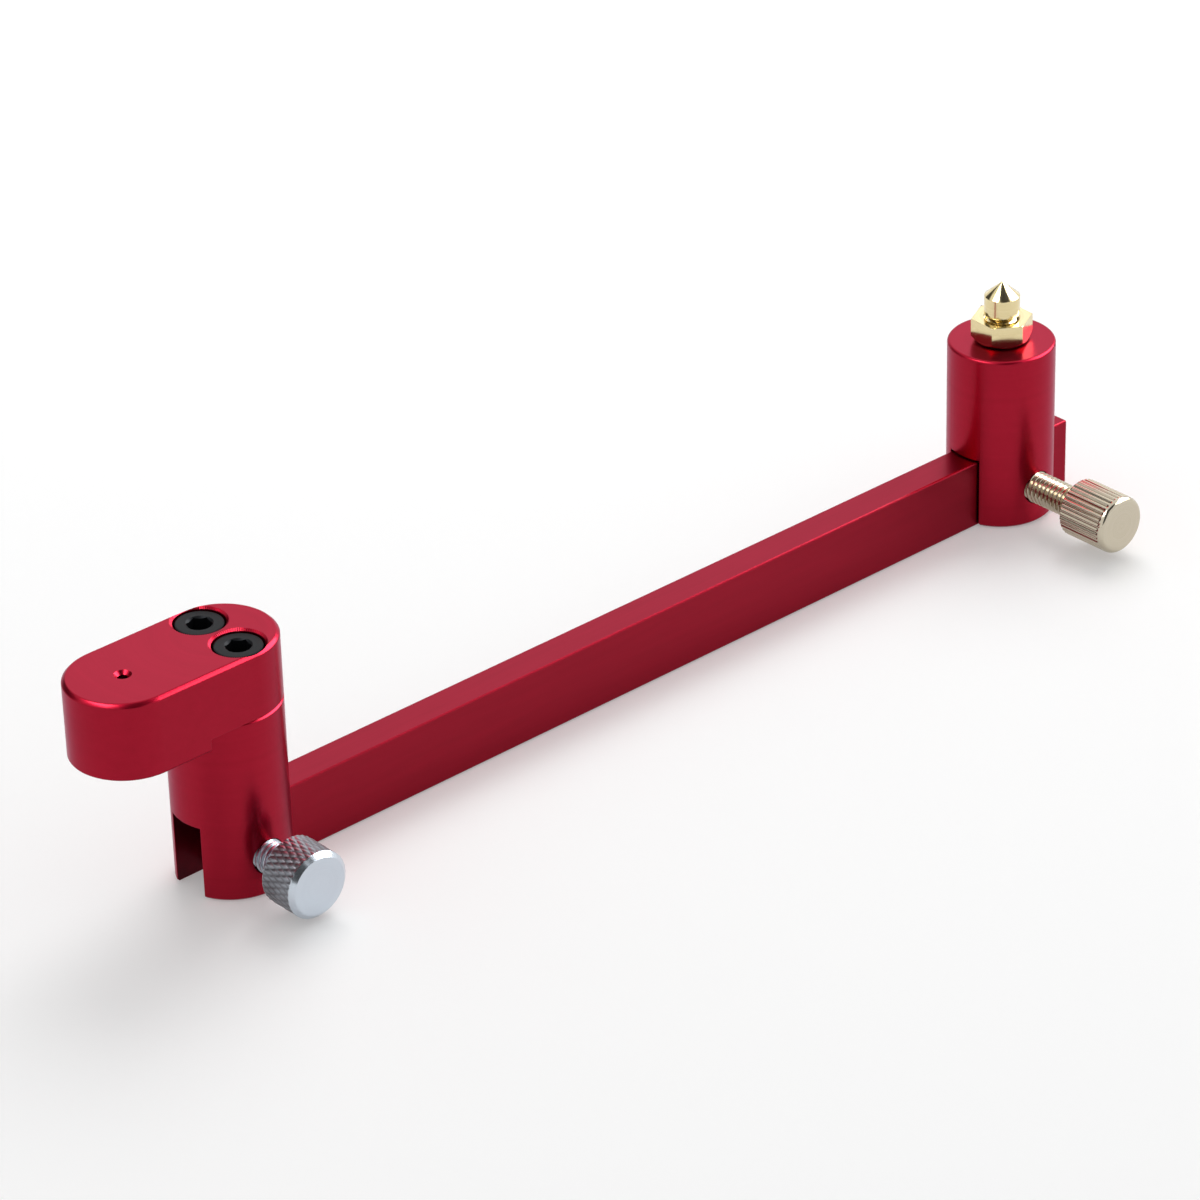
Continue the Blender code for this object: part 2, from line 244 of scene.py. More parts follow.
class ShapeTree(NodeBench):
    """A Geometry Nodes tree with named sizes that ends in one dressed mesh."""

    def __init__(self, name: str, lengths: Sequence[str], counts: Sequence[str]) -> None:
        """Start the tree and its named inputs.

        Args:
            name: The tree's name.
            lengths: Names of the inputs that hold lengths and shares.
            counts: Names of the inputs that hold whole numbers.
        """
        super().__init__(bpy.data.node_groups.new(name, "GeometryNodeTree"))
        sockets = self.tree.interface
        sockets.new_socket(name="Geometry", in_out="OUTPUT", socket_type="NodeSocketGeometry")
        for length in lengths:
            sockets.new_socket(name=length, in_out="INPUT", socket_type="NodeSocketFloat")
        for count in counts:
            sockets.new_socket(name=count, in_out="INPUT", socket_type="NodeSocketInt")
        sockets.new_socket(name="Material", in_out="INPUT", socket_type="NodeSocketMaterial")
        given = self.tree.nodes.new("NodeGroupInput")
        self.given = {name: Field(self, given.outputs[name]) for name in (*lengths, *counts)}
        self.material = given.outputs["Material"]

    def grid(self, columns: Number, rows: Number) -> tuple[bpy.types.Node, Field, Field]:
        """Add a grid of one by one.

        Args:
            columns: The number of points across.
            rows: The number of points along.

        Returns:
            The grid node, and how far across and along it each point lies, from 0 to 1.
        """
        inputs = {"Size X": 1.0, "Size Y": 1.0, "Vertices X": columns, "Vertices Y": rows}
        grid = self.node("GeometryNodeMeshGrid", inputs=inputs)
        across, along, _ = self.split(self.node("GeometryNodeInputPosition").outputs[0])
        return grid, across + 0.5, along + 0.5

    def wrapped(
        self,
        grid: bpy.types.Node,
        around: Field,
        radius: Field,
        height: Field,
        recess: Field,
    ) -> object:
        """Bend a grid into a tube about Z and note on each point how deep it lies.

        Args:
            grid: The grid node.
            around: The share of a turn of each point.
            radius: Its distance from Z.
            height: Its height.
            recess: How deep it lies in a groove, from 0 to 1.

        Returns:
            The tube's geometry socket.
        """
        settings = {"data_type": "FLOAT", "domain": "POINT"}
        inputs = {"Geometry": grid.outputs[0], "Name": RECESS, "Value": recess}
        noted = self.node("GeometryNodeStoreNamedAttribute", settings, inputs)
        angle = around * math.tau
        place = self.joined(radius * angle.cosine(), radius * angle.sine(), height)
        inputs = {"Geometry": noted.outputs[0], "Position": place}
        return self.node("GeometryNodeSetPosition", inputs=inputs).outputs[0]

    def lid(self, facets: Field, radius: Field, height: Number) -> object:
        """Add a flat round lid about Z, which shares its rim's points with a tube.

        Args:
            facets: The facets of its rim.
            radius: The radius of its rim.
            height: Its height.

        Returns:
            The lid's geometry socket.
        """
        inputs = {"Vertices": facets, "Radius": radius}
        disc = self.node("GeometryNodeMeshCircle", {"fill_type": "NGON"}, inputs)
        inputs = {"Geometry": disc.outputs[0], "Translation": self.joined(0.0, 0.0, height)}
        return self.node("GeometryNodeTransform", inputs=inputs).outputs[0]

    def close(self, parts: Sequence[object]) -> None:
        """Join and weld the parts, make them real, dress them and end the tree.

        Args:
            parts: Geometry sockets.
        """
        joint = self.node("GeometryNodeJoinGeometry")
        for part in parts:
            self.tree.links.new(part, joint.inputs[0])
        inputs = {"Geometry": joint.outputs[0], "Distance": MERGE}
        welded = self.node("GeometryNodeMergeByDistance", inputs=inputs)
        real = self.node("GeometryNodeRealizeInstances", inputs={"Geometry": welded.outputs[0]})
        inputs = {"Geometry": real.outputs[0], "Material": self.material}
        dressed = self.node("GeometryNodeSetMaterial", inputs=inputs)
        end = self.tree.nodes.new("NodeGroupOutput")
        self.tree.links.new(dressed.outputs[0], end.inputs[0])

    def make(self, sizes: Mapping[str, float], material: bpy.types.Material) -> bmesh.types.BMesh:
        """Run the tree once and return its plain mesh.

        Args:
            sizes: A value for each named input.
            material: What the mesh is dressed with.

        Returns:
            The mesh, with faces pointing out where it is closed.
        """
        holder = in_scene("holder", bpy.data.meshes.new("holder"))
        modifier = holder.modifiers.new("shape", "NODES")
        modifier.node_group = self.tree
        values = {**sizes, "Material": material}
        for item in self.tree.interface.items_tree:
            if item.in_out == "INPUT":
                modifier[item.identifier] = values[item.name]
        mesh = as_bmesh(evaluated(holder))
        bpy.data.objects.remove(holder)
        bmesh.ops.dissolve_degenerate(mesh, dist=MERGE, edges=mesh.edges)
        bmesh.ops.recalc_face_normals(mesh, faces=mesh.faces)
        return mesh


def in_scene(name: str, data: bpy.types.ID) -> bpy.types.Object:
    """Return a new object in the scene that shows some data.

    Args:
        name: The object's name.
        data: Its mesh, lamp or camera.

    Returns:
        The object.
    """
    made = bpy.data.objects.new(name, data)
    bpy.context.scene.collection.objects.link(made)
    return made


def evaluated(holder: bpy.types.Object) -> bpy.types.Mesh:
    """Work all of an object's modifiers into a plain mesh.

    Args:
        holder: The object, which is kept.

    Returns:
        The new mesh.
    """
    graph = bpy.context.evaluated_depsgraph_get()
    source = holder.evaluated_get(graph)
    return bpy.data.meshes.new_from_object(source, preserve_all_data_layers=True, depsgraph=graph)


def as_bmesh(mesh: bpy.types.Mesh) -> bmesh.types.BMesh:
    """Turn a mesh into an editable one.

    Args:
        mesh: The mesh, which is dropped.

    Returns:
        The editable mesh.
    """
    copy = bmesh.new()
    copy.from_mesh(mesh)
    bpy.data.meshes.remove(mesh)
    return copy


def circle(radius: float, height: float, steps: int) -> list[Point]:
    """Return points on a ring about Z."""
    angles = [math.tau * step / steps for step in range(steps)]
    return [(radius * math.cos(angle), radius * math.sin(angle), height) for angle in angles]


def obround(radius: float, reach: float, height: float, steps: int) -> list[Point]:
    """Return points on a slot shape whose second centre lies at -reach on X.

    Args:
        radius: The radius of both ends.
        reach: The distance between their centres.
        height: The height of every point.
        steps: The facets of each end.

    Returns:
        The points, anticlockwise from below.
    """
    points = []
    for centre, start in ((0.0, -math.pi / 2), (-reach, math.pi / 2)):
        for step in range(steps + 1):
            angle = start + math.pi * step / steps
            points.append((centre + radius * math.cos(angle), radius * math.sin(angle), height))
    return points


def lofted(rings: Sequence[Sequence[Point]], closed: bool = True) -> bmesh.types.BMesh:
    """Join rings of as many points each into a solid or an open tube.

    Args:
        rings: The rings, each a list of points. One point is a pole.
        closed: Whether the first and last rings are covered.

    Returns:
        The mesh.
    """
    mesh = bmesh.new()
    loops = [[mesh.verts.new(point) for point in ring] for ring in rings]
    for lower, upper in zip(loops, loops[1:]):
        count = max(len(lower), len(upper))
        for step in range(count):
            after = (step + 1) % count
            if len(lower) == 1:
                mesh.faces.new((lower[0], upper[after], upper[step]))
            elif len(upper) == 1:
                mesh.faces.new((lower[step], lower[after], upper[0]))
            else:
                mesh.faces.new((lower[step], lower[after], upper[after], upper[step]))
    for loop in (loops[0], loops[-1]):
        if closed and len(loop) > 1:
            mesh.faces.new(loop)
    if closed:
        bmesh.ops.recalc_face_normals(mesh, faces=mesh.faces)
    return mesh


def turned(profile: Profile, steps: int, closed: bool = True) -> bmesh.types.BMesh:
    """Return a piece turned about Z from its profile of radius and height.

    Args:
        profile: Pairs of radius and height. Radius 0 is a pole.
        steps: The facets around.
        closed: Whether the ends are covered.

    Returns:
        The mesh.
    """
    rings = []
    for radius, height in profile:
        rings.append(circle(radius, height, steps) if radius else [(0.0, 0.0, height)])
    return lofted(rings, closed)


def block(low: Point, high: Point) -> bmesh.types.BMesh:
    """Return a box."""
    corners = [(low[0], low[1]), (high[0], low[1]), (high[0], high[1]), (low[0], high[1])]
    return lofted([[(x, y, z) for x, y in corners] for z in (low[2], high[2])])


def hexagon(across_flats: float, low: float, high: float, turn: float) -> bmesh.types.BMesh:
    """Return a hexagonal prism about Z.

    Args:
        across_flats: Its width between two flats.
        low: The height of its lower face.
        high: The height of its upper face.
        turn: How far its first corner is turned from X, in radians.

    Returns:
        The mesh.
    """
    prism = lofted([circle(across_flats / math.sqrt(3), height, 6) for height in (low, high)])
    prism.transform(Matrix.Rotation(turn, 4, "Z"))
    return prism


class Lip(NamedTuple):
    """An edge that is broken by a chamfer or a round: how far in and how far down it goes."""

    inset: float
    height: float
    steps: int = 1

    def outline(self, radius: float, top: float) -> list[tuple[float, float]]:
        """Return the edge's profile from the side to the flat face above it.

        Args:
            radius: The radius of the side.
            top: The height of the flat face.

        Returns:
            Pairs of radius and height.
        """
        points = []
        for step in range(self.steps + 1):
            angle = math.pi / 2 * step / self.steps
            inset = self.inset * (1.0 - math.cos(angle))
            points.append((radius - inset, top - self.height * (1.0 - math.sin(angle))))
        return points

    def underside(self, radius: float, low: float) -> list[tuple[float, float]]:
        """Return the profile of the same edge from a flat face to the side above it."""
        return [(near, low - height) for near, height in reversed(self.outline(radius, 0.0))]


class Workpiece:
    """A blank on the bench, cut by tools and then broken along its sharp edges."""

    def __init__(self, name: str, blank: bmesh.types.BMesh) -> None:
        """Take a blank.

        Args:
            name: The piece's name.
            blank: Its mesh, which is used up.
        """
        self.name = name
        self.helpers: list[bpy.types.Object] = []
        self.piece = self._object(name + "_blank", blank)

    def _object(self, name: str, source: bmesh.types.BMesh) -> bpy.types.Object:
        """Put a mesh in the scene as an object of the bench.

        Args:
            name: The object's name.
            source: The mesh, which is used up.

        Returns:
            The object.
        """
        mesh = bpy.data.meshes.new(name)
        source.to_mesh(mesh)
        source.free()
        self.helpers.append(in_scene(name, mesh))
        return self.helpers[-1]

    def cut(self, tool: bmesh.types.BMesh, operation: str = "DIFFERENCE") -> Workpiece:
        """Cut the piece with a tool, or keep only what they share.

        Args:
            tool: The tool's mesh, which is used up.
            operation: DIFFERENCE or INTERSECT.

        Returns:
            The workpiece itself.
        """
        helper = self._object(self.name + "_tool", tool)
        modifier = self.piece.modifiers.new(helper.name, "BOOLEAN")
        modifier.operation = operation
        modifier.solver = "EXACT"
        modifier.object = helper
        return self

    def soften(self, width: float, limit: float = 55.0, steps: int = 2) -> Workpiece:
        """Break every edge that is sharper than a limit.

        Args:
            width: The width of the broken edge.
            limit: The least angle between faces, in degrees.
            steps: The facets of the broken edge.

        Returns:
            The workpiece itself.
        """
        modifier = self.piece.modifiers.new("soft_edges", "BEVEL")
        modifier.width = width
        modifier.segments = steps
        modifier.limit_method = "ANGLE"
        modifier.angle_limit = math.radians(limit)
        modifier.use_clamp_overlap = False
        return self

    def done(self) -> bmesh.types.BMesh:
        """Work all cuts in and clear the bench.

        Returns:
            The finished mesh.
        """
        mesh = as_bmesh(evaluated(self.piece))
        for helper in self.helpers:
            bpy.data.meshes.remove(helper.data)
        bmesh.ops.dissolve_degenerate(mesh, dist=MERGE, edges=mesh.edges)
        return mesh


def piece(
    name: str,
    meshes: Iterable[bmesh.types.BMesh],
    material: bpy.types.Material,
    place: Matrix,
    sharp: float = 32.0,
) -> bpy.types.Object:
    """Join finished meshes into one object whose place is in its mesh.

    Args:
        name: The object's name.
        meshes: Its parts in their own frame, which are used up.
        material: Its finish.
        place: Where the parts' own frame lies.
        sharp: The angle between faces above which an edge stays crisp, in degrees.

    Returns:
        The object.
    """
    joined = bmesh.new()
    depth = joined.verts.layers.float.new(RECESS)
    for part in meshes:
        part.transform(place)
        noted = part.verts.layers.float.get(RECESS)
        copies = {}
        for vert in part.verts:
            copies[vert] = joined.verts.new(vert.co)
            copies[vert][depth] = vert[noted] if noted else 0.0
        for face in part.faces:
            joined.faces.new([copies[vert] for vert in face.verts]).smooth = True
        part.free()
    mesh = bpy.data.meshes.new(name)
    joined.to_mesh(mesh)
    joined.free()
    mesh.materials.clear()
    mesh.materials.append(material)
    mesh.set_sharp_from_angle(angle=math.radians(sharp))
    holder = in_scene(name + "_raw", mesh)
    weighted = holder.modifiers.new("weighted", "WEIGHTED_NORMAL")
    weighted.keep_sharp = True
    weighted.weight = LARGE_FACES_LEAD
    finished = evaluated(holder)
    bpy.data.objects.remove(holder)
    bpy.data.meshes.remove(mesh)
    finished.name = name
    return in_scene(name, finished)


class Marks(Enum):
    """The direction in which a tool has marked a metal surface."""

    DRAWN = "drawn"
    TURNED = "turned"


class EffectShelf:
    """The surface effects that several finishes share, each built once as a node group."""

    # How many fine lines or rings a broad band covers, and how far rings stray.
    DRAWN_BAND = 9.0
    TURNED_BAND = 7.0
    STRAY = 0.8
    # Specks: how many cells there are to a grain, and how small each speck is.
    CELLS = 0.3
    SPECK_FALL = 5.0
    # Smears: how they slant, and the part of the cloud that shows.
    SLANT = 0.4
    DROP = 0.3
    SMEAR_FLOOR = 0.35
    SMEAR_GAIN = 2.5
    # Grime and painted shade: their share everywhere in a recess, and what smears add to it.
    SETTLED_AND_SHADED = 0.6
    RUBBED = 0.4

    _mark_inputs = {
        "Vector": "NodeSocketVector",
        "Pitch": "NodeSocketFloat",
        "Run": "NodeSocketFloat",
    }

    def __init__(self) -> None:
        """Start with an empty shelf."""
        self.groups: dict[str, bpy.types.NodeTree] = {}

    def _start(
        self,
        name: str,
        inputs: Mapping[str, str],
        outputs: Sequence[str],
    ) -> tuple[NodeBench, dict[str, Field], bpy.types.Node]:
        """Start a group with named sockets.

        Args:
            name: The group's name.
            inputs: Socket types by name.
            outputs: Names of the values that it puts out.

        Returns:
            The bench, the inputs by name and the output node.
        """
        tree = bpy.data.node_groups.new(name, "ShaderNodeTree")
        for label, kind in inputs.items():
            tree.interface.new_socket(name=label, in_out="INPUT", socket_type=kind)
        for label in outputs:
            tree.interface.new_socket(name=label, in_out="OUTPUT", socket_type="NodeSocketFloat")
        bench = NodeBench(tree)
        given = tree.nodes.new("NodeGroupInput")
        fields = {label: Field(bench, given.outputs[label]) for label in inputs}
        self.groups[name] = tree
        return bench, fields, tree.nodes.new("NodeGroupOutput")

    def marks(self, kind: Marks) -> bpy.types.NodeTree:
        """Return the group of one kind of tool marks, with outputs Height and Tone.

        Args:
            kind: The kind of marks.

        Returns:
            The group.
        """
        if kind.value not in self.groups:
            builders = {Marks.DRAWN: self._drawn, Marks.TURNED: self._turned}
            builders[kind]()
        return self.groups[kind.value]

    def _drawn(self) -> None:
        """Build long fine lines along X, as drawing through a die leaves."""
        bench, given, end = self._start(Marks.DRAWN.value, self._mark_inputs, ("Height", "Tone"))
        x, y, z = bench.split(given["Vector"])
        pitch = given["Pitch"]
        band = pitch * self.DRAWN_BAND
        fine = bench.noise(bench.joined(x / given["Run"], y / pitch, z / pitch), 3.0)
        broad = bench.noise(bench.joined(x / given["Run"], y / band, z / band), 1.0)
        bench.feed(end.inputs["Height"], fine)
        bench.feed(end.inputs["Tone"], fine * 0.5 + broad * 0.5)

    def _turned(self) -> None:
        """Build fine rings about Z, on the sides and on the faces of a turned piece."""
        bench, given, end = self._start(Marks.TURNED.value, self._mark_inputs, ("Height", "Tone"))
        x, y, z = bench.split(given["Vector"])
        pitch = given["Pitch"]
        band = pitch * self.TURNED_BAND
        radius = bench.math("SQRT", x * x + y * y)
        swing = bench.joined(x / given["Run"], y / given["Run"], 0.0)
        stray = bench.noise(swing, 1.0) * self.STRAY
        fine = bench.noise(bench.joined(radius / pitch, stray, z / pitch), 2.0)
        broad = bench.noise(bench.joined(radius / band, stray, z / band), 1.0)
        bench.feed(end.inputs["Height"], fine)
        bench.feed(end.inputs["Tone"], fine * 0.5 + broad * 0.5)

    def grit(self) -> bpy.types.NodeTree:
        """Return the group of the fine etched grit under a satin skin.

        Returns:
            The group, with outputs Height and Speck.
        """
        if "grit" not in self.groups:
            inputs = {"Vector": "NodeSocketVector", "Grain": "NodeSocketFloat"}
            bench, given, end = self._start("grit", inputs, ("Height", "Speck"))
            inputs = {0: given["Vector"], "Scale": bench.math("DIVIDE", 1.0, given["Grain"])}
            scaled = bench.node("ShaderNodeVectorMath", {"operation": "SCALE"}, inputs).outputs[0]
            inputs = {"Vector": scaled, "Scale": self.CELLS}
            cells = bench.node("ShaderNodeTexVoronoi", inputs=inputs)
            speck = (1.0 - Field(bench, cells.outputs["Distance"]) * self.SPECK_FALL).share()
            bench.feed(end.inputs["Height"], bench.noise(scaled, 2.0))
            bench.feed(end.inputs["Speck"], speck)
        return self.groups["grit"]

    def handling(self) -> bpy.types.NodeTree:
        """Return the group of soft smears that handling leaves.

        Returns:
            The group, with output Smear.
        """
        if "handling" not in self.groups:
            inputs = {"Vector": "NodeSocketVector", "Width": "NodeSocketFloat"}
            bench, given, end = self._start("handling", inputs, ("Smear",))
            x, y, z = bench.split(given["Vector"])
            width = given["Width"]
            across = (x + y * self.SLANT) / width
            slanted = bench.joined(across, (y - z * self.DROP) / width, z / width)
            cloud = (bench.noise(slanted, 3.0) - self.SMEAR_FLOOR) * self.SMEAR_GAIN
            bench.feed(end.inputs["Smear"], cloud.share())
        return self.groups["handling"]

    def grime_and_shade(self) -> bpy.types.NodeTree:
        """Return the group that darkens where a surface lies deep: partly dirt, partly painted
        shade.

        Returns:
            The group, with output Mask.
        """
        if "grime_and_shade" not in self.groups:
            inputs = dict.fromkeys(("Recess", "Smear", "Amount"), "NodeSocketFloat")
            bench, given, end = self._start("grime_and_shade", inputs, ("Mask",))
            uneven = given["Smear"] * self.RUBBED + self.SETTLED_AND_SHADED
            bench.feed(end.inputs["Mask"], given["Recess"] * uneven * given["Amount"])
        return self.groups["grime_and_shade"]


@dataclass(frozen=True)
class MetalFinish:
    """One metal finish: its colours, its gloss and the marks of its making.

    Lengths are in metres. The depth of marks and grit is their real height. Grime and painted
    shade
    darken what a mesh notes as a recess: dirt and painted shade in the roots of a thread and the
    grooves of a knurl, painted shade alone on the walls of a slot and on a knurl's dulled side.
    """

    TONE_FLOOR = 0.3
    TONE_GAIN = 2.0
    GRIME_DULLING = 0.25

    name: str
    slot: str
    colour: Colour
    shade: Colour
    metallic: float
    gloss: float
    dull: float
    marks: Marks = Marks.TURNED
    pitch: float = 0.18 * MM
    run: float = 4.0 * MM
    depth: float = 0.0012 * MM
    grain: float = 0.12 * MM
    grit_depth: float = 0.0012 * MM
    smear_width: float = 9.0 * MM
    specular: float = 0.5
    edge_tint: Colour = (1.0, 1.0, 1.0)
    coat: float = 0.0
    coat_roughness: float = 0.1
    speck_colour: Colour = (0.0, 0.0, 0.0)
    speck_amount: float = 0.0
    grime_and_shade_colour: Colour = (0.1, 0.1, 0.1)
    grime_and_shade: float = 0.0

    def material(self, shelf: EffectShelf, owner: str, datum: Matrix) -> bpy.types.Material:
        """Build the finish for one piece.

        Args:
            shelf: The shared effects.
            owner: The piece's name.
            datum: The piece's own frame, whose Z is the turning axis.

        Returns:
            The material.
        """
        made = bpy.data.materials.new(f"{self.name}_on_{owner}")
        made.use_nodes = True
        bench = NodeBench(made.node_tree)
        local = self._local(bench, datum)
        inputs = {"Vector": local, "Pitch": self.pitch, "Run": self.run}
        marks = bench.group(shelf.marks(self.marks), inputs)
        grit = bench.group(shelf.grit(), {"Vector": local, "Grain": self.grain})
        inputs = {"Vector": local, "Width": self.smear_width}
        worn = bench.group(shelf.handling(), inputs)["Smear"]
        amount = ((marks["Tone"] - self.TONE_FLOOR) * self.TONE_GAIN).share()
        colour = bench.colours(amount, (*self.colour, 1.0), (*self.shade, 1.0))
        if self.speck_amount:
            speck = grit["Speck"] * self.speck_amount
            colour = bench.colours(speck, colour, (*self.speck_colour, 1.0))
        half_span = (self.dull - self.gloss) * 0.5
        roughness = amount * half_span + worn * half_span + self.gloss
        # Darken what the mesh notes as a recess: painted shade, with dirt as well in the roots of
        # threads and knurls.
        if self.grime_and_shade:
            noted = bench.node("ShaderNodeAttribute", {"attribute_name": RECESS})
            inputs = {"Recess": noted.outputs["Fac"], "Smear": worn, "Amount": self.grime_and_shade}
            dirt_and_shade = bench.group(shelf.grime_and_shade(), inputs)["Mask"]
            colour = bench.colours(dirt_and_shade, colour, (*self.grime_and_shade_colour, 1.0))
            roughness = roughness + dirt_and_shade * self.GRIME_DULLING
        height = marks["Height"] * self.depth + grit["Height"] * self.grit_depth
        inputs = {"Strength": 1.0, "Distance": 1.0, "Height": height}
        values = {
            "Base Color": colour,
            "Roughness": roughness,
            "Normal": bench.node("ShaderNodeBump", inputs=inputs).outputs[0],
            "Metallic": self.metallic,
            "Specular IOR Level": self.specular,
            "Specular Tint": (*self.edge_tint, 1.0),
            "Coat Weight": self.coat,
            "Coat Roughness": self.coat_roughness,
        }
        shader = made.node_tree.nodes["Principled BSDF"]
        for name, value in values.items():
            bench.feed(shader.inputs[name], value)
        made.diffuse_color = (*self.colour, 1.0)
        return made

    def _local(self, bench: NodeBench, datum: Matrix) -> bpy.types.NodeSocket:
        """Add Object coordinates as seen from a piece's own frame.

        Args:
            bench: The material's bench.
            datum: The piece's own frame.

        Returns:
            The vector's socket.
        """
        inputs = {
            "Vector": bench.node("ShaderNodeTexCoord").outputs["Object"],
            "Location": datum.to_translation(),
            "Rotation": datum.to_euler(),
        }
        return bench.node("ShaderNodeMapping", {"vector_type": "TEXTURE"}, inputs).outputs[0]


RED_TURNED = MetalFinish(
    name="red_anodised_turned",
    slot="red_anodised",
    colour=(0.335, 0.0050, 0.0215),
    shade=(0.295, 0.0040, 0.0180),
    metallic=1.0,
    gloss=0.29,
    dull=0.36,
    edge_tint=(0.8, 0.6, 0.7),
    coat=0.15,
    coat_roughness=0.18,
    # This dark colour falls only on the heads' slot walls, noted as a recess: painted shade.
    grime_and_shade_colour=(0.06, 0.005, 0.010),
    grime_and_shade=1.0,
)

RED_DRAWN_SHADED = MetalFinish(
    name="red_anodised_drawn_shaded",
    slot="red_anodised",
    # This red is a fifth darker than the heads' red: painted shade over the whole beam.
    colour=(0.268, 0.0040, 0.0172),
    shade=(0.236, 0.0032, 0.0144),
    metallic=1.0,
    gloss=0.30,
    dull=0.38,
    marks=Marks.DRAWN,
    pitch=0.16 * MM,
    run=14.0 * MM,
    edge_tint=(0.8, 0.6, 0.7),
    coat=0.15,
    coat_roughness=0.2,
)

BRASS = MetalFinish(
    name="turned_brass",
    slot="brass",
    colour=(0.77, 0.655, 0.385),
    shade=(0.68, 0.56, 0.30),
    metallic=1.0,
    gloss=0.10,
    dull=0.20,
    pitch=0.12 * MM,
    depth=0.0009 * MM,
    grit_depth=0.0003 * MM,
    # This colour darkens the thread roots: dirt and painted shade.
    grime_and_shade_colour=(0.20, 0.13, 0.05),
    grime_and_shade=0.55,
)

PALE_GOLD = MetalFinish(
    name="pale_gold_plate",
    slot="pale_gold",
    colour=(0.56, 0.505, 0.40),
    shade=(0.51, 0.455, 0.35),
    metallic=1.0,
    gloss=0.10,
    dull=0.18,
    depth=0.0005 * MM,
    grit_depth=0.0003 * MM,
    # This colour darkens the flute grooves and thread roots: dirt and painted shade.
    grime_and_shade_colour=(0.22, 0.14, 0.09),
    grime_and_shade=0.45,
)

BRIGHT_CHROME = MetalFinish(
    name="bright_chrome_plate",
    slot="bright_chrome",
    colour=(0.58, 0.635, 0.70),
    shade=(0.55, 0.605, 0.67),
    metallic=1.0,
    gloss=0.15,
    dull=0.24,
    depth=0.0003 * MM,
    grit_depth=0.0004 * MM,
    # This colour darkens the knurl grooves and thread roots, partly as dirt and partly as painted
    # shade, and the whole knurled side as painted shade.
    grime_and_shade_colour=(0.06, 0.048, 0.053),
    grime_and_shade=1.0,
)

BLACK_OXIDE = MetalFinish(
    name="black_oxide_steel",
    slot="black_oxide",
    colour=(0.0065, 0.0075, 0.0095),
    shade=(0.004, 0.0045, 0.006),
    metallic=0.4,
    specular=0.10,
    gloss=0.36,
    dull=0.50,
    grain=0.10 * MM,
    grit_depth=0.003 * MM,
    speck_colour=(0.038, 0.040, 0.047),
    speck_amount=0.45,
)


@dataclass(frozen=True)
class Knurling:
    """A closed cylinder about Z whose side is knurled, with its back face at zero."""

    radius: float
    length: float
    depth: float
    grooves: int
    fullness: float
    crossing: float
    back_edge: Lip
    front_edge: Lip
    roundness: float
    side_rows: int
    facets_per_groove: int = 8
    lip_rows: int = 8
    margin: float = 0.0
    fade: float = 0.3 * MM
    # How much of the whole knurled side, crests too, counts as a recess: duller, and darkened as
    # painted shade.
    side_dullness_and_shade: float = 0.0

    def make(self, tree: ShapeTree, material: bpy.types.Material) -> bmesh.types.BMesh:
        """Form the cylinder.

        Args:
            tree: The tree of a knurled cylinder.
            material: Its finish.

        Returns:
            The mesh.
        """
        sizes = {
            "Radius": self.radius,
            "Length": self.length,
            "Groove Depth": self.depth,
            "Ridge Fullness": self.fullness,
            "Crossing": self.crossing,
            "Back Inset": self.back_edge.inset,
            "Back Height": self.back_edge.height,
            "Front Inset": self.front_edge.inset,
            "Front Height": self.front_edge.height,
            "Front Roundness": self.roundness,
            "Front Margin": self.margin,
            "Margin Fade": self.fade,
            "Side Dullness And Shade": self.side_dullness_and_shade,
            "Grooves": self.grooves,
            "Facets Per Groove": self.facets_per_groove,
            "Lip Rows": self.lip_rows,
            "Side Rows": self.side_rows,
        }
        return tree.make(sizes, material)


@dataclass(frozen=True)
class ThreadForm:
    """The form of a metric thread."""

    crest_radius: float = 2.98 * MM
    root_radius: float = 2.45 * MM
    pitch: float = 1.0 * MM
    facets: int = 64
    rows_per_turn: int = 12

    def make(
        self,
        tree: ShapeTree,
        length: float,
        relieved: bool,
        material: bpy.types.Material,
    ) -> bmesh.types.BMesh:
        """Cut a length of thread.

        Args:
            tree: The tree of a thread.
            length: How long it is.
            relieved: Whether its upper end is chamfered like its lower one.
            material: Its finish.

        Returns:
            The mesh, an open tube from zero upwards.
        """
        relief = self.crest_radius - self.root_radius
        sizes = {
            "Crest Radius": self.crest_radius,
            "Root Radius": self.root_radius,
            "Pitch": self.pitch,
            "Length": length,
            "Start Relief": relief,
            "End Relief": relief if relieved else 0.0,
            "Facets": self.facets,
            "Rows Per Turn": self.rows_per_turn,
            "Turns": math.ceil(length / self.pitch) + 1,
        }
        return tree.make(sizes, material)


class Fitter:
    """Holds what the pieces share, sets each on its body in place of its solid and reports each
    one.
    """

    def __init__(self) -> None:
        """Lay out the shared effects and shape trees."""
        self.shelf = EffectShelf()
        self.sleeve = knurled_sleeve()
        self.thread = screw_thread()

    def fit(self, made: bpy.types.Object, node: str, body: str, finish: MetalFinish) -> None:
        """Let a piece stand for a solid and ride on its body.

        Args:
            made: The finished piece.
            node: The solid that it stands for.
            body: The body that it rides on.
            finish: Not used.
        """
        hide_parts(node)
        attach(made, body)
        log.info("%s stands for %s with %d faces", made.name, node, len(made.data.polygons))

    def dress(self, node: str, finish: MetalFinish, datum: Matrix) -> None:
        """Give a solid that is shown as it is its finish.

        Args:
            node: The solid.
            finish: Its finish.
            datum: Its own frame.
        """
        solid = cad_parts[node]
        solid.data.materials.clear()
        solid.data.materials.append(finish.material(self.shelf, node, datum))
        log.info("%s is shown as it is", node)


def axis_of(node: str) -> Vector:
    """Return the place on the floor under the middle of a solid.

    Args:
        node: The solid.

    Returns:
        The place, with a height of zero.
    """
    low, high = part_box(node)
    middle = (low + high) / 2
    middle.z = 0.0
    return middle


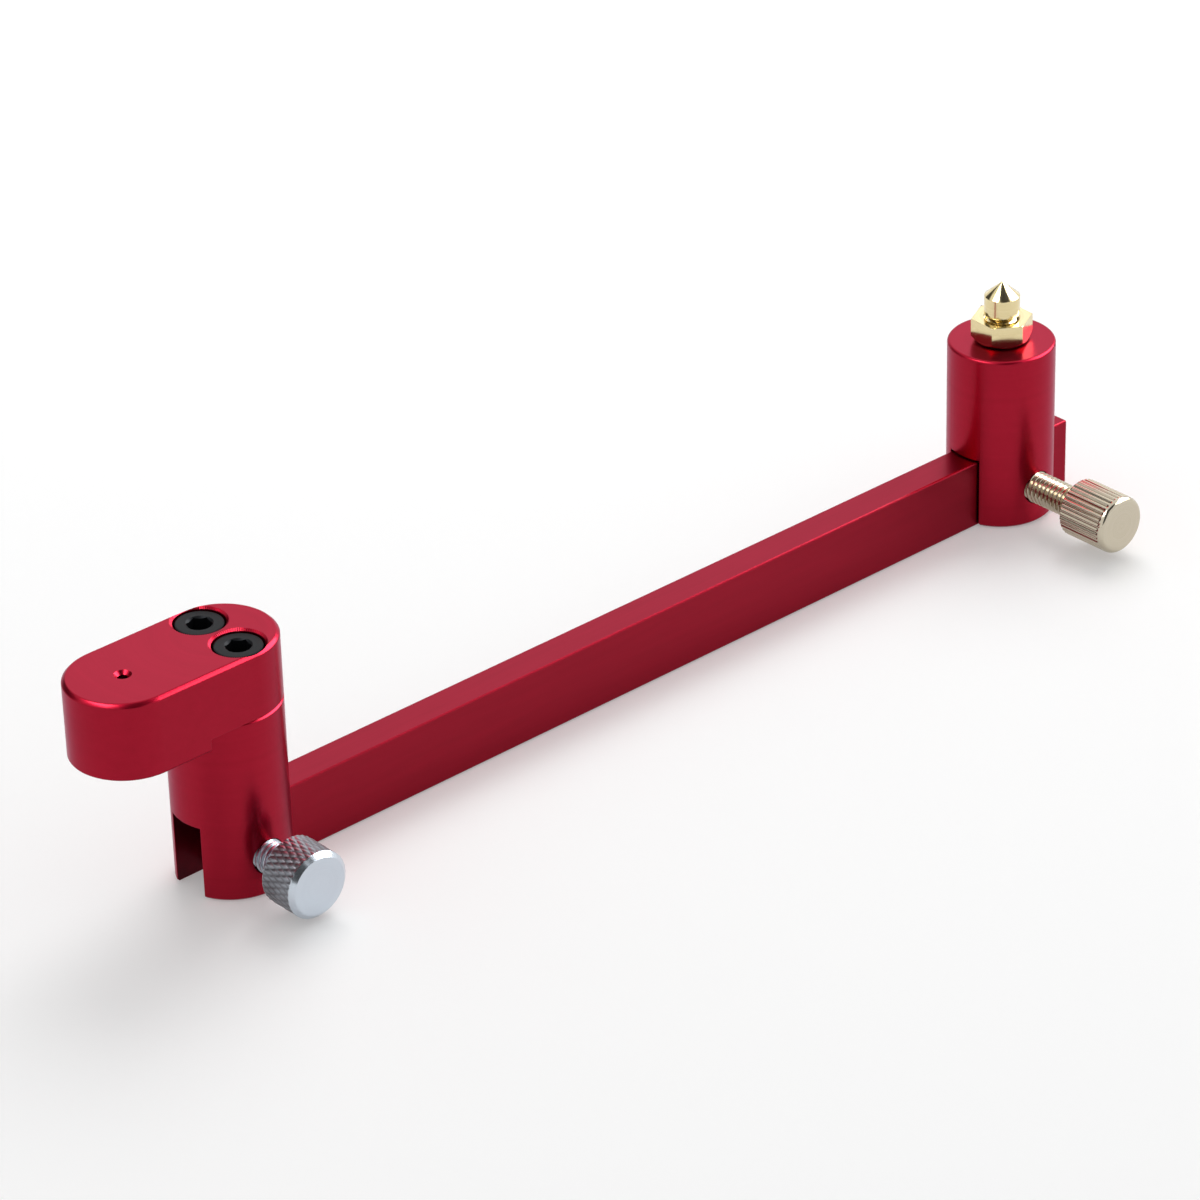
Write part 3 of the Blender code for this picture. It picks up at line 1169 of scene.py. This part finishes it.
@dataclass(kw_only=True)
class MetalPiece:
    """A piece of the tool that is formed from metal and stands for one solid."""

    node: str
    body: str
    process: str
    finish: MetalFinish
    sharp: float = 32.0
    overrun: float = 1.0 * MM

    def build(self, fitter: Fitter) -> None:
        """Form the piece and fit it."""
        raise NotImplementedError

    def material(self, fitter: Fitter, place: Matrix) -> bpy.types.Material:
        """Return the piece's finish as seen from its own frame."""
        return self.finish.material(fitter.shelf, self.node, place)

    def hand_over(
        self,
        fitter: Fitter,
        meshes: Iterable[bmesh.types.BMesh],
        material: bpy.types.Material,
        place: Matrix,
    ) -> None:
        """Join the finished meshes and fit them as one piece."""
        made = piece(f"{self.node}_{self.process}", meshes, material, place, self.sharp)
        fitter.fit(made, self.node, self.body, self.finish)


@dataclass(kw_only=True)
class SlottedHead(MetalPiece):
    """A turned cylinder with an open slot for the bar and a tapped cross hole."""

    top_edge: Lip
    base_edge: Lip = Lip(0.4 * MM, 0.4 * MM)
    slot_width: float = 7.2 * MM
    slot_depth: float = 13.5 * MM
    hole_radius: float = 3.12 * MM
    hole_height: float = 7.0 * MM
    broken: float = 0.16 * MM
    facets: int = 128
    hole_facets: int = 48
    process: str = "turned"
    finish: MetalFinish = RED_TURNED

    def build(self, fitter: Fitter) -> None:
        """Turn the head, cut its slot and cross hole, and fit it.

        Args:
            fitter: What takes the piece.
        """
        low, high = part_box(self.node)
        radius = (high.x - low.x) / 2
        place = Matrix.Translation(axis_of(self.node))
        base = self.base_edge.underside(radius, 0.0)
        blank = turned(base + self.top_edge.outline(radius, high.z), self.facets)
        work = Workpiece(self.node, blank)
        reach = radius + self.overrun
        side = self.slot_width / 2
        work.cut(block((-reach, -side, -self.overrun), (reach, side, self.slot_depth)))
        hole = turned([(self.hole_radius, 0.0), (self.hole_radius, reach)], self.hole_facets)
        hole.transform(Matrix.Rotation(math.pi / 2, 4, "X"))
        hole.transform(Matrix.Translation((0.0, 0.0, self.hole_height)))
        work.cut(hole)
        work.soften(self.broken)
        self.hand_over(fitter, [self._noted(work.done())], self.material(fitter, place), place)

    def _noted(self, mesh: bmesh.types.BMesh) -> bmesh.types.BMesh:
        """Note the slot's walls as a recess, which the finish darkens as painted shade.

        Args:
            mesh: The cut head.

        Returns:
            The same mesh.
        """
        depth = mesh.verts.layers.float.new(RECESS)
        side = self.slot_width / 2 + MERGE
        top = self.slot_depth + MERGE
        for vert in mesh.verts:
            vert[depth] = float(abs(vert.co.y) < side and vert.co.z < top)
        return mesh


@dataclass(kw_only=True)
class FootPlate(MetalPiece):
    """The obround plate bolted on the foot head, with its counterbores and its small hole."""

    node: str = "foot_plate"
    body: str = "foot_head"
    top_edge: Lip = Lip(0.64 * MM, 0.64 * MM)
    base_edge: Lip = Lip(0.35 * MM, 0.35 * MM, 2)
    seat_gap: float = 0.06 * MM
    shoulder_gap: float = 0.3 * MM
    screw_spacing: float = 10.2 * MM
    counterbore_radius: float = 4.5 * MM
    counterbore_depth: float = 5.75 * MM
    shank_radius: float = 2.8 * MM
    mouth: float = 0.38 * MM
    chatter: float = 0.05
    hole_radius: float = 0.9 * MM
    hole_mouth: float = 1.5 * MM
    hole_chamfer: float = 0.6 * MM
    broken: float = 0.16 * MM
    broken_above: float = 40.0
    facets: int = 64
    hole_facets: int = 160
    process: str = "milled"
    finish: MetalFinish = RED_TURNED

    def build(self, fitter: Fitter) -> None:
        """Mill the plate, break its edges, cut its holes and fit it.

        Args:
            fitter: What takes the piece.
        """
        low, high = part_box(self.node)
        radius = (high.y - low.y) / 2
        reach = (high.x - low.x) - 2 * radius
        place = Matrix.Translation((high.x - radius, 0.0, 0.0))
        profile = self.base_edge.underside(radius, low.z) + self.top_edge.outline(radius, high.z)
        blank = lofted([obround(r, reach, z, self.facets) for r, z in profile])
        work = Workpiece(self.node, blank)
        edge = radius + self.overrun
        shoulder = -radius - self.shoulder_gap
        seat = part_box(self.body)[1].z + self.seat_gap
        work.cut(block((shoulder, -edge, low.z - self.overrun), (edge, edge, seat)))
        work.soften(self.broken, self.broken_above)
        for side in (-1, 1):
            tool = turned(self._counterbore(high.z, low.z), self.hole_facets)
            self._ripple(tool, high.z)
            tool.transform(Matrix.Translation((0.0, side * self.screw_spacing / 2, 0.0)))
            work.cut(tool)
        hole = turned(self._small_hole(high.z, low.z), self.hole_facets)
        hole.transform(Matrix.Translation((-reach, 0.0, 0.0)))
        work.cut(hole)
        self.hand_over(fitter, [work.done()], self.material(fitter, place), place)

    def _counterbore(self, top: float, low: float) -> Profile:
        """Return the profile of a stepped hole with a chamfered mouth.

        Args:
            top: The height of the plate's top face.
            low: The height of its lower face.

        Returns:
            Pairs of radius and height.
        """
        seat = top - self.counterbore_depth
        over = self.overrun
        return [
            (self.shank_radius, low - over),
            (self.shank_radius, seat),
            (self.counterbore_radius, seat),
            (self.counterbore_radius, top - self.mouth),
            (self.counterbore_radius + self.mouth + over, top + over),
        ]

    def _ripple(self, tool: bmesh.types.BMesh, top: float) -> None:
        """Ripple the wide end of a countersink, so that it leaves chatter marks.

        Args:
            tool: The tool about Z.
            top: The height of the plate's top face.
        """
        rim = [vert for vert in tool.verts if vert.co.z > top]
        for number, vert in enumerate(rim):
            swell = 1.0 + self.chatter * (1 if number % 2 else -1)
            vert.co.x *= swell
            vert.co.y *= swell

    def _small_hole(self, top: float, low: float) -> Profile:
        """Return the profile of the small hole with its countersunk mouth.

        Args:
            top: The height of the plate's top face.
            low: The height of its lower face.

        Returns:
            Pairs of radius and height.
        """
        slope = (self.hole_mouth - self.hole_radius) / self.hole_chamfer
        return [
            (self.hole_radius, low - self.overrun),
            (self.hole_radius, top - self.hole_chamfer),
            (self.hole_mouth + slope * self.overrun, top + self.overrun),
        ]


@dataclass(kw_only=True)
class LockNut(MetalPiece):
    """The chamfered hexagon nut that locks the point."""

    node: str = "point_lock_nut"
    body: str = "point_head"
    across_flats: float = 10.0 * MM
    seat_share: float = 0.98
    seat_drop: float = 0.85 * MM
    face_drop: float = 0.12 * MM
    bore_radius: float = 3.06 * MM
    bore_mouth: float = 0.35 * MM
    turn: float = 26.0
    broken: float = 0.10 * MM
    broken_above: float = 45.0
    facets: int = 128
    process: str = "cut"
    finish: MetalFinish = BRASS
    sharp: float = 24.0

    def build(self, fitter: Fitter) -> None:
        """Chamfer and bore the nut and fit it.

        Args:
            fitter: What takes the piece.
        """
        low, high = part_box(self.node)
        place = Matrix.Translation(axis_of(self.body))
        prism = hexagon(self.across_flats, low.z, high.z, math.radians(self.turn))
        work = Workpiece(self.node, prism)
        corner = self.across_flats / math.sqrt(3)
        guard = [
            (self.across_flats / 2 * self.seat_share, low.z),
            (corner, low.z + self.seat_drop),
            (corner, high.z - self.face_drop),
            (corner - self.face_drop, high.z),
        ]
        work.cut(turned(guard, self.facets), "INTERSECT")
        wide = self.bore_radius + self.bore_mouth + self.overrun
        bore = [
            (wide, low.z - self.overrun),
            (self.bore_radius, low.z + self.bore_mouth),
            (self.bore_radius, high.z - self.bore_mouth),
            (wide, high.z + self.overrun),
        ]
        work.cut(turned(bore, self.facets // 2))
        work.soften(self.broken, self.broken_above)
        self.hand_over(fitter, [work.done()], self.material(fitter, place), place)


@dataclass(kw_only=True)
class PointStud(MetalPiece):
    """The brass point: a threaded end, a neck, a nose and a ground cone."""

    node: str = "point_stud"
    body: str = "point_head"
    thread: ThreadForm = ThreadForm(root_radius=2.46 * MM, facets=96, rows_per_turn=10)
    neck_radius: float = 2.5 * MM
    neck_length: float = 0.6 * MM
    nose_radius: float = 3.3 * MM
    nose_length: float = 3.7 * MM
    nose_edge: Lip = Lip(0.18 * MM, 0.18 * MM, 2)
    shoulder: float = 0.06 * MM
    tip_radius: float = 0.09 * MM
    facets: int = 96
    process: str = "ground"
    finish: MetalFinish = BRASS

    def build(self, fitter: Fitter) -> None:
        """Turn the point, thread it and fit it.

        Args:
            fitter: What holds the tree of a thread and takes the piece.
        """
        low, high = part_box(self.node)
        nut_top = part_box("point_lock_nut")[1].z
        place = Matrix.Translation(axis_of(self.body))
        material = self.material(fitter, place)
        shank = self.thread.make(fitter.thread, nut_top - low.z, True, material)
        bmesh.ops.holes_fill(shank, edges=[edge for edge in shank.edges if edge.is_boundary])
        shank.transform(Matrix.Translation((0.0, 0.0, low.z)))
        nose = nut_top + self.neck_length
        cone = nose + self.nose_length
        profile = [
            (0.0, nut_top - self.neck_length),
            (self.neck_radius, nut_top - self.neck_length),
            (self.neck_radius, nose),
            *self.nose_edge.underside(self.nose_radius, nose),
            (self.nose_radius, cone - self.shoulder),
            (self.nose_radius - self.shoulder, cone + self.shoulder),
            (self.tip_radius, high.z - self.tip_radius),
            (0.0, high.z),
        ]
        self.hand_over(fitter, [shank, turned(profile, self.facets)], material, place)


@dataclass(kw_only=True)
class CapScrew(MetalPiece):
    """A socket-head cap screw with a knurled head."""

    body: str = "foot_head"
    head_height: float = 5.0 * MM
    shank_radius: float = 2.47 * MM
    shank_chamfer: float = 0.5 * MM
    top_edge: Lip = Lip(0.4 * MM, 0.3 * MM, 3)
    knurl_depth: float = 0.12 * MM
    knurl_fullness: float = 1.2
    knurls: int = 60
    socket_flats: float = 3.95 * MM
    socket_depth: float = 2.6 * MM
    socket_drill: float = 0.7 * MM
    socket_mouth: float = 2.42 * MM
    socket_chamfer: float = 0.35 * MM
    socket_turn: float = 20.0
    drill_share: float = 0.98
    facets: int = 48
    process: str = "forged"
    finish: MetalFinish = BLACK_OXIDE
    sharp: float = 30.0

    def build(self, fitter: Fitter) -> None:
        """Form the screw and fit it.

        Args:
            fitter: What holds the tree of a knurled cylinder and takes the piece.
        """
        low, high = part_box(self.node)
        middle = (low + high) / 2
        place = Matrix.Translation((middle.x, middle.y, 0.0))
        material = self.material(fitter, place)
        seat = high.z - self.head_height
        knurling = Knurling(
            radius=(high.x - low.x) / 2,
            length=self.head_height,
            depth=self.knurl_depth,
            grooves=self.knurls,
            fullness=self.knurl_fullness,
            crossing=1.0,
            back_edge=self.top_edge,
            front_edge=self.top_edge,
            roundness=1.0,
            side_rows=50,
            facets_per_groove=6,
            lip_rows=4,
            fade=self.overrun,
        )
        head = knurling.make(fitter.sleeve, material)
        head.transform(Matrix.Translation((0.0, 0.0, seat)))
        work = Workpiece(self.node, head)
        floor = high.z - self.socket_depth
        turn = math.radians(self.socket_turn)
        work.cut(hexagon(self.socket_flats, floor, high.z + self.overrun, turn))
        work.cut(turned(self._mouth(high.z, floor), self.facets))
        profile = [
            (0.0, low.z),
            (self.shank_radius - self.shank_chamfer, low.z),
            (self.shank_radius, low.z + self.shank_chamfer),
            (self.shank_radius, seat + self.shank_chamfer),
            (0.0, seat + self.shank_chamfer),
        ]
        self.hand_over(fitter, [work.done(), turned(profile, self.facets)], material, place)

    def _mouth(self, top: float, floor: float) -> Profile:
        """Return the profile that chamfers the socket's mouth and drills its floor.

        Args:
            top: The height of the screw's top face.
            floor: The height of the socket's floor.

        Returns:
            Pairs of radius and height.
        """
        inner = self.socket_flats / 2
        over = self.overrun
        slope = (self.socket_mouth - inner) / self.socket_chamfer
        return [
            (0.0, floor - self.socket_drill),
            (inner * self.drill_share, floor),
            (inner * self.drill_share, top - self.socket_chamfer),
            (self.socket_mouth + slope * over, top + over),
        ]


@dataclass(kw_only=True)
class ThumbScrew(MetalPiece):
    """A clamping screw with a knurled knob, turned from one bar."""

    head_node: str
    knob: Knurling
    standoff: float
    thread: ThreadForm = ThreadForm()
    height: float = 7.0 * MM
    tip: float = 4.9 * MM
    bore_radius: float = 1.1 * MM
    bore_depth: float = 2.0 * MM
    root_overlap: float = 0.3 * MM
    facets: int = 64
    process: str = "turned"
    sharp: float = 30.0

    def build(self, fitter: Fitter) -> None:
        """Make the knob and the stem and fit them as one piece.

        Args:
            fitter: What holds the trees of a knurl and a thread and takes the piece.
        """
        low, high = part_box(self.head_node)
        axis = axis_of(self.head_node)
        back = (high.x - low.x) / 2 + self.standoff
        turn = Euler((math.pi / 2, 0.0, 0.0)).to_matrix().to_4x4()
        place = Matrix.Translation((axis.x, axis.y, self.height)) @ turn
        material = self.material(fitter, place)
        knob = self.knob.make(fitter.sleeve, material)
        knob.transform(Matrix.Translation((0.0, 0.0, back)))
        length = back - self.tip + self.root_overlap
        stem = self.thread.make(fitter.thread, length, False, material)
        stem.transform(Matrix.Translation((0.0, 0.0, self.tip)))
        self.hand_over(fitter, [knob, stem, self._bored_tip()], material, place)

    def _bored_tip(self) -> bmesh.types.BMesh:
        """Return the stem's end face with the bore that holds the pad's pin."""
        end = self.tip + self.bore_depth
        profile = [
            (0.0, end),
            (self.bore_radius, end),
            (self.bore_radius, self.tip),
            (self.thread.root_radius, self.tip),
        ]
        return turned(profile, self.facets, closed=False)


def knurled_sleeve() -> ShapeTree:
    """Build the tree of a closed cylinder whose side is cut by straight or crossing grooves.

    Returns:
        The tree. Its ridges lean both ways where Crossing is 1 and run straight where it is 0.
    """
    lengths = (
        "Radius",
        "Length",
        "Groove Depth",
        "Ridge Fullness",
        "Crossing",
        "Back Inset",
        "Back Height",
        "Front Inset",
        "Front Height",
        "Front Roundness",
        "Front Margin",
        "Margin Fade",
        "Side Dullness And Shade",
    )
    counts = ("Grooves", "Facets Per Groove", "Lip Rows", "Side Rows")
    shape = ShapeTree("knurled_sleeve", lengths, counts)
    given = shape.given
    facets = given["Grooves"] * given["Facets Per Groove"]
    rows = given["Lip Rows"] * 2.0 + given["Side Rows"]
    grid, around, along = shape.grid(facets + 1.0, rows + 1.0)
    row = along * rows
    back = (1.0 - row / given["Lip Rows"]).share()
    side = ((row - given["Lip Rows"]) / given["Side Rows"]).share()
    front = ((row - given["Lip Rows"] - given["Side Rows"]) / given["Lip Rows"]).share()
    quarter = front * (math.pi / 2)
    ascent = front.toward(quarter.sine(), given["Front Roundness"])
    inset = front.toward(1.0 - quarter.cosine(), given["Front Roundness"])
    straight = given["Length"] - given["Back Height"] - given["Front Height"]
    height = given["Back Height"] * (1.0 - back) + straight * side
    height = height + given["Front Height"] * ascent
    envelope = given["Radius"] - given["Back Inset"] * back - given["Front Inset"] * inset
    turn = around * given["Grooves"]
    rise = given["Crossing"] * height * given["Grooves"]
    lean = rise / (given["Radius"] * math.tau) * KNURL_LEAN
    first = (abs((turn + lean).fraction() - 0.5) * 2.0) ** given["Ridge Fullness"]
    second = (abs((turn - lean).fraction() - 0.5) * 2.0) ** given["Ridge Fullness"]
    left = given["Length"] - given["Front Margin"] - height
    ended = (left / given["Margin Fade"] + 1.0).share()
    groove = (1.0 - (1.0 - first) * (1.0 - second)) * ended
    radius = envelope.at_most(given["Radius"] - given["Groove Depth"] * groove)
    reached = given["Radius"] - given["Groove Depth"] * 0.5
    knurled = ((envelope - reached) / (given["Groove Depth"] * 0.5)).share() * ended
    # The grooves darken as dirt and painted shade; the side dullness input darkens the rest of
    # the knurled side as painted shade.
    recess = given["Side Dullness And Shade"].toward(1.0, groove) * knurled
    tube = shape.wrapped(grid, around, radius, height, recess)
    bottom = shape.lid(facets, given["Radius"] - given["Back Inset"], 0.0)
    top = shape.lid(facets, given["Radius"] - given["Front Inset"], given["Length"])
    shape.close([tube, bottom, top])
    return shape


def screw_thread() -> ShapeTree:
    """Build the tree of a right-hand thread as an open tube about Z.

    Returns:
        The tree. Each row of points follows the helix, so crests and roots stay crisp.
    """
    lengths = ("Crest Radius", "Root Radius", "Pitch", "Length", "Start Relief", "End Relief")
    shape = ShapeTree("screw_thread", lengths, ("Facets", "Rows Per Turn", "Turns"))
    given = shape.given
    rows = given["Rows Per Turn"] * given["Turns"]
    grid, around, along = shape.grid(given["Facets"] + 1.0, rows + 1.0)
    level = along * given["Turns"]
    height = ((level + around - 1.0) * given["Pitch"]).at_least(0.0).at_most(given["Length"])
    slope = abs((level + THREAD_SEAM).fraction() * 2.0 - 1.0)
    tooth = ((THREAD_ROOT_EDGE - slope) / THREAD_FLANK).share()
    radius = given["Root Radius"] + (given["Crest Radius"] - given["Root Radius"]) * tooth
    radius = radius.at_most(given["Crest Radius"] - given["Start Relief"] + height)
    left = given["Length"] - height
    radius = radius.at_most(given["Crest Radius"] - given["End Relief"] + left)
    # The roots are noted as a recess, which the finish darkens: dirt and painted shade.
    shape.close([shape.wrapped(grid, around, radius, height, 1.0 - tooth)])
    return shape


class Reach(Enum):
    """What a lamp is hung for: the form and its shadow, or the sheen on metal."""

    FORM = "form"
    SHEEN = "sheen"


@dataclass
class SoftBox:
    """A rectangular studio lamp that faces the object."""

    name: str
    reach: Reach
    azimuth: float
    elevation: float
    distance: float
    width: float
    height: float
    radiance: float

    def build(self, target: Vector) -> None:
        """Hang the lamp.

        Args:
            target: What it faces.
        """
        data = bpy.data.lights.new(self.name, "AREA")
        data.shape = "RECTANGLE"
        data.size = self.width
        data.size_y = self.height
        data.energy = self.radiance * math.pi * self.width * self.height
        lamp = in_scene(self.name, data)
        lamp.visible_camera = False
        lamp.visible_glossy = self.reach is Reach.SHEEN
        lamp.visible_diffuse = self.reach is Reach.FORM
        away = direction(self.azimuth, self.elevation)
        lamp.location = target + away * self.distance
        lamp.rotation_euler = away.to_track_quat("Z", "Y").to_euler()


@dataclass
class Flag:
    """A dark card that metal reflects and the camera doesn't see."""

    name: str
    azimuth: float
    elevation: float
    distance: float
    width: float
    height: float
    tone: float = 0.10

    def build(self, target: Vector) -> None:
        """Hang the card.

        Args:
            target: What it faces.
        """
        away = direction(self.azimuth, self.elevation)
        mesh = sheet(self.name, self.width, self.height, 0.0)
        turn = away.to_track_quat("Z", "Y").to_matrix().to_4x4()
        mesh.transform(Matrix.Translation(target + away * self.distance) @ turn)
        mesh.materials.append(matt(self.name, self.tone, 1.0, 0.0))
        card = in_scene(self.name, mesh)
        card.visible_camera = False
        card.visible_diffuse = False
        card.visible_shadow = False


def sheet(name: str, width: float, depth: float, level: float) -> bpy.types.Mesh:
    """Return a flat rectangle about Z.

    Args:
        name: The mesh's name.
        width: Its size along X.
        depth: Its size along Y.
        level: Its height.

    Returns:
        The mesh.
    """
    x = width / 2
    y = depth / 2
    corners = [(-x, -y, level), (x, -y, level), (x, y, level), (-x, y, level)]
    mesh = bpy.data.meshes.new(name)
    mesh.from_pydata(corners, [], [(0, 1, 2, 3)])
    return mesh


def matt(name: str, tone: float, roughness: float, specular: float) -> bpy.types.Material:
    """Return the material of plain grey card or paper.

    Args:
        name: The material's name.
        tone: How light it is, from 0 to 1.
        roughness: How matt its sheen is.
        specular: How strong its sheen is.

    Returns:
        The material.
    """
    made = bpy.data.materials.new(name)
    made.use_nodes = True
    shader = made.node_tree.nodes["Principled BSDF"]
    shader.inputs["Base Color"].default_value = (tone, tone, tone, 1.0)
    shader.inputs["Roughness"].default_value = roughness
    shader.inputs["Specular IOR Level"].default_value = specular
    return made


def direction(azimuth: float, elevation: float) -> Vector:
    """Return the way from the object towards a place in the studio.

    Args:
        azimuth: Degrees round the object from -Y towards +X.
        elevation: Degrees above the floor.

    Returns:
        A vector of length one.
    """
    turn = math.radians(azimuth)
    rise = math.radians(elevation)
    flat = math.cos(rise)
    return Vector((math.sin(turn) * flat, -math.cos(turn) * flat, math.sin(rise)))


def shown_white(bench: NodeBench) -> Field:
    """Return where a white surface is only shown and gives no light.

    Args:
        bench: The bench of the material or the room.

    Returns:
        1 for what the camera sees, also in metal or through glass, and 0 for the light itself.
    """
    path = bench.node("ShaderNodeLightPath").outputs
    camera, glossy, clear = (Field(bench, path[name]) for name in SEEING_RAYS)
    return camera.at_least(glossy).at_least(clear)


@dataclass
class Studio:
    """The white floor, the plain light and the camera."""

    azimuth: float = -41.3
    elevation: float = 29.5
    roll: float = -1.6
    distance: float = 0.93
    lens: float = 158.5
    sensor: float = 36.0
    nearest: float = 0.01
    farthest: float = 50.0
    target: Point = (-0.0101, 0.0051, 0.0149)
    floor_drop: float = 0.25 * MM
    floor_size: float = 6.0
    floor_tone: float = 0.73
    floor_roughness: float = 0.9
    floor_sheen: float = 0.1
    floor_lift: float = 0.27
    floor_far_lift: float = 0.30
    floor_near: float = 0.22
    floor_far: float = 1.10
    fill: float = 0.56
    lamps: tuple[SoftBox, ...] = (
        SoftBox("top_lamp", Reach.FORM, 130.0, 52.0, 1.2, 0.80, 0.80, 4.2),
        SoftBox("key_lamp", Reach.SHEEN, 68.0, 33.0, 0.8, 0.80, 0.56, 9.0),
        SoftBox("side_lamp", Reach.SHEEN, -98.0, 55.0, 0.8, 0.44, 0.26, 11.0),
        SoftBox("back_lamp", Reach.SHEEN, 139.0, 32.0, 0.9, 0.70, 0.50, 0.5),
    )
    flags: tuple[Flag, ...] = (
        Flag("top_flag", -15.0, 58.0, 0.9, 0.86, 0.56),
        Flag("front_flag", -28.0, 23.0, 0.97, 0.62, 0.66),
        Flag("back_flag", -156.0, 18.0, 0.9, 0.80, 0.50),
    )

    def build(self) -> None:
        """Set up the whole studio."""
        target = Vector(self.target)
        self._camera(target)
        self._floor()
        self._world()
        for lamp in self.lamps:
            lamp.build(target)
        for flag in self.flags:
            flag.build(target)
        bpy.context.scene.view_settings.view_transform = "Standard"
        log.info("studio: %d lamps and %d dark cards", len(self.lamps), len(self.flags))

    def _camera(self, target: Vector) -> None:
        """Set the camera up at the photograph's angle.

        Args:
            target: What it looks at.
        """
        data = bpy.data.cameras.new("camera")
        data.lens = self.lens
        data.sensor_width = self.sensor
        data.clip_start = self.nearest
        data.clip_end = self.farthest
        camera = in_scene("camera", data)
        back = direction(self.azimuth, self.elevation)
        upright = (-back).to_track_quat("-Z", "Y").to_matrix().to_4x4()
        roll = Matrix.Rotation(math.radians(self.roll), 4, "Z")
        camera.matrix_world = Matrix.Translation(target + back * self.distance) @ upright @ roll
        bpy.context.scene.camera = camera

    def _floor(self) -> None:
        """Lay the pale floor just under the object."""
        mesh = sheet("floor", self.floor_size, self.floor_size, -self.floor_drop)
        paper = matt("floor_paper", self.floor_tone, self.floor_roughness, self.floor_sheen)
        shader = paper.node_tree.nodes["Principled BSDF"]
        shader.inputs["Emission Color"].default_value = WHITE
        bench = NodeBench(paper.node_tree)
        x, y, _ = bench.split(bench.node("ShaderNodeTexCoord").outputs["Object"])
        away = bench.math("SQRT", x * x + y * y)
        far = ((away - self.floor_near) / (self.floor_far - self.floor_near)).share()
        eased = far * far * (3.0 - far * 2.0)
        lift = eased * self.floor_far_lift + self.floor_lift
        bench.feed(shader.inputs["Emission Strength"], shown_white(bench) * lift)
        mesh.materials.append(paper)
        in_scene("floor", mesh)

    def _world(self) -> None:
        """Light the room evenly and show it white to the camera and in the metal."""
        world = bpy.data.worlds.new("room")
        world.use_nodes = True
        bpy.context.scene.world = world
        tree = world.node_tree
        tree.nodes.clear()
        bench = NodeBench(tree)
        strength = shown_white(bench) * (1.0 - self.fill) + self.fill
        room = bench.node("ShaderNodeBackground", inputs={"Color": WHITE, "Strength": strength})
        end = bench.node("ShaderNodeOutputWorld")
        tree.links.new(room.outputs[0], end.inputs[0])


FLUTED_KNOB = Knurling(
    radius=5.5 * MM,
    length=10.8 * MM,
    depth=0.28 * MM,
    grooves=36,
    fullness=2.6,
    crossing=0.0,
    back_edge=Lip(0.5 * MM, 0.4 * MM),
    front_edge=Lip(0.85 * MM, 1.05 * MM),
    roundness=1.0,
    side_rows=72,
    margin=1.25 * MM,
)

DIAMOND_KNOB = Knurling(
    radius=6.1 * MM,
    length=7.9 * MM,
    depth=0.16 * MM,
    grooves=32,
    fullness=2.4,
    crossing=0.57,
    back_edge=Lip(0.4 * MM, 0.4 * MM),
    front_edge=Lip(0.85 * MM, 0.75 * MM),
    roundness=0.0,
    side_rows=80,
    margin=0.95 * MM,
    fade=0.25 * MM,
    # Its whole knurled side is darkened as painted shade.
    side_dullness_and_shade=0.75,
)

PIECES = (
    SlottedHead(node="point_head", body="point_head", top_edge=Lip(0.6 * MM, 0.6 * MM, 5)),
    SlottedHead(node="foot_head", body="foot_head", top_edge=Lip(0.4 * MM, 0.4 * MM)),
    PointStud(),
    LockNut(),
    FootPlate(),
    CapScrew(node="foot_screw_left"),
    CapScrew(node="foot_screw_right"),
    ThumbScrew(
        node="point_thumb_screw",
        body="point_thumb_screw",
        head_node="point_head",
        finish=PALE_GOLD,
        knob=FLUTED_KNOB,
        standoff=10.2 * MM,
    ),
    ThumbScrew(
        node="foot_thumb_screw",
        body="foot_thumb_screw",
        head_node="foot_head",
        finish=BRIGHT_CHROME,
        knob=DIAMOND_KNOB,
        standoff=5.0 * MM,
    ),
)


def main() -> None:
    """Build every piece in order and set up the studio."""
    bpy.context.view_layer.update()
    fitter = Fitter()
    fitter.dress("beam", RED_DRAWN_SHADED, Matrix())
    for formed in PIECES:
        formed.build(fitter)
    for pad, head in (("point_clamp_pad", "point_head"), ("foot_clamp_pad", "foot_head")):
        fitter.dress(pad, BRASS, Matrix.Translation(axis_of(head)))
    Studio().build()


if __name__ == "__main__":
    logging.basicConfig(level=logging.INFO, format="%(name)s: %(message)s")
    main()
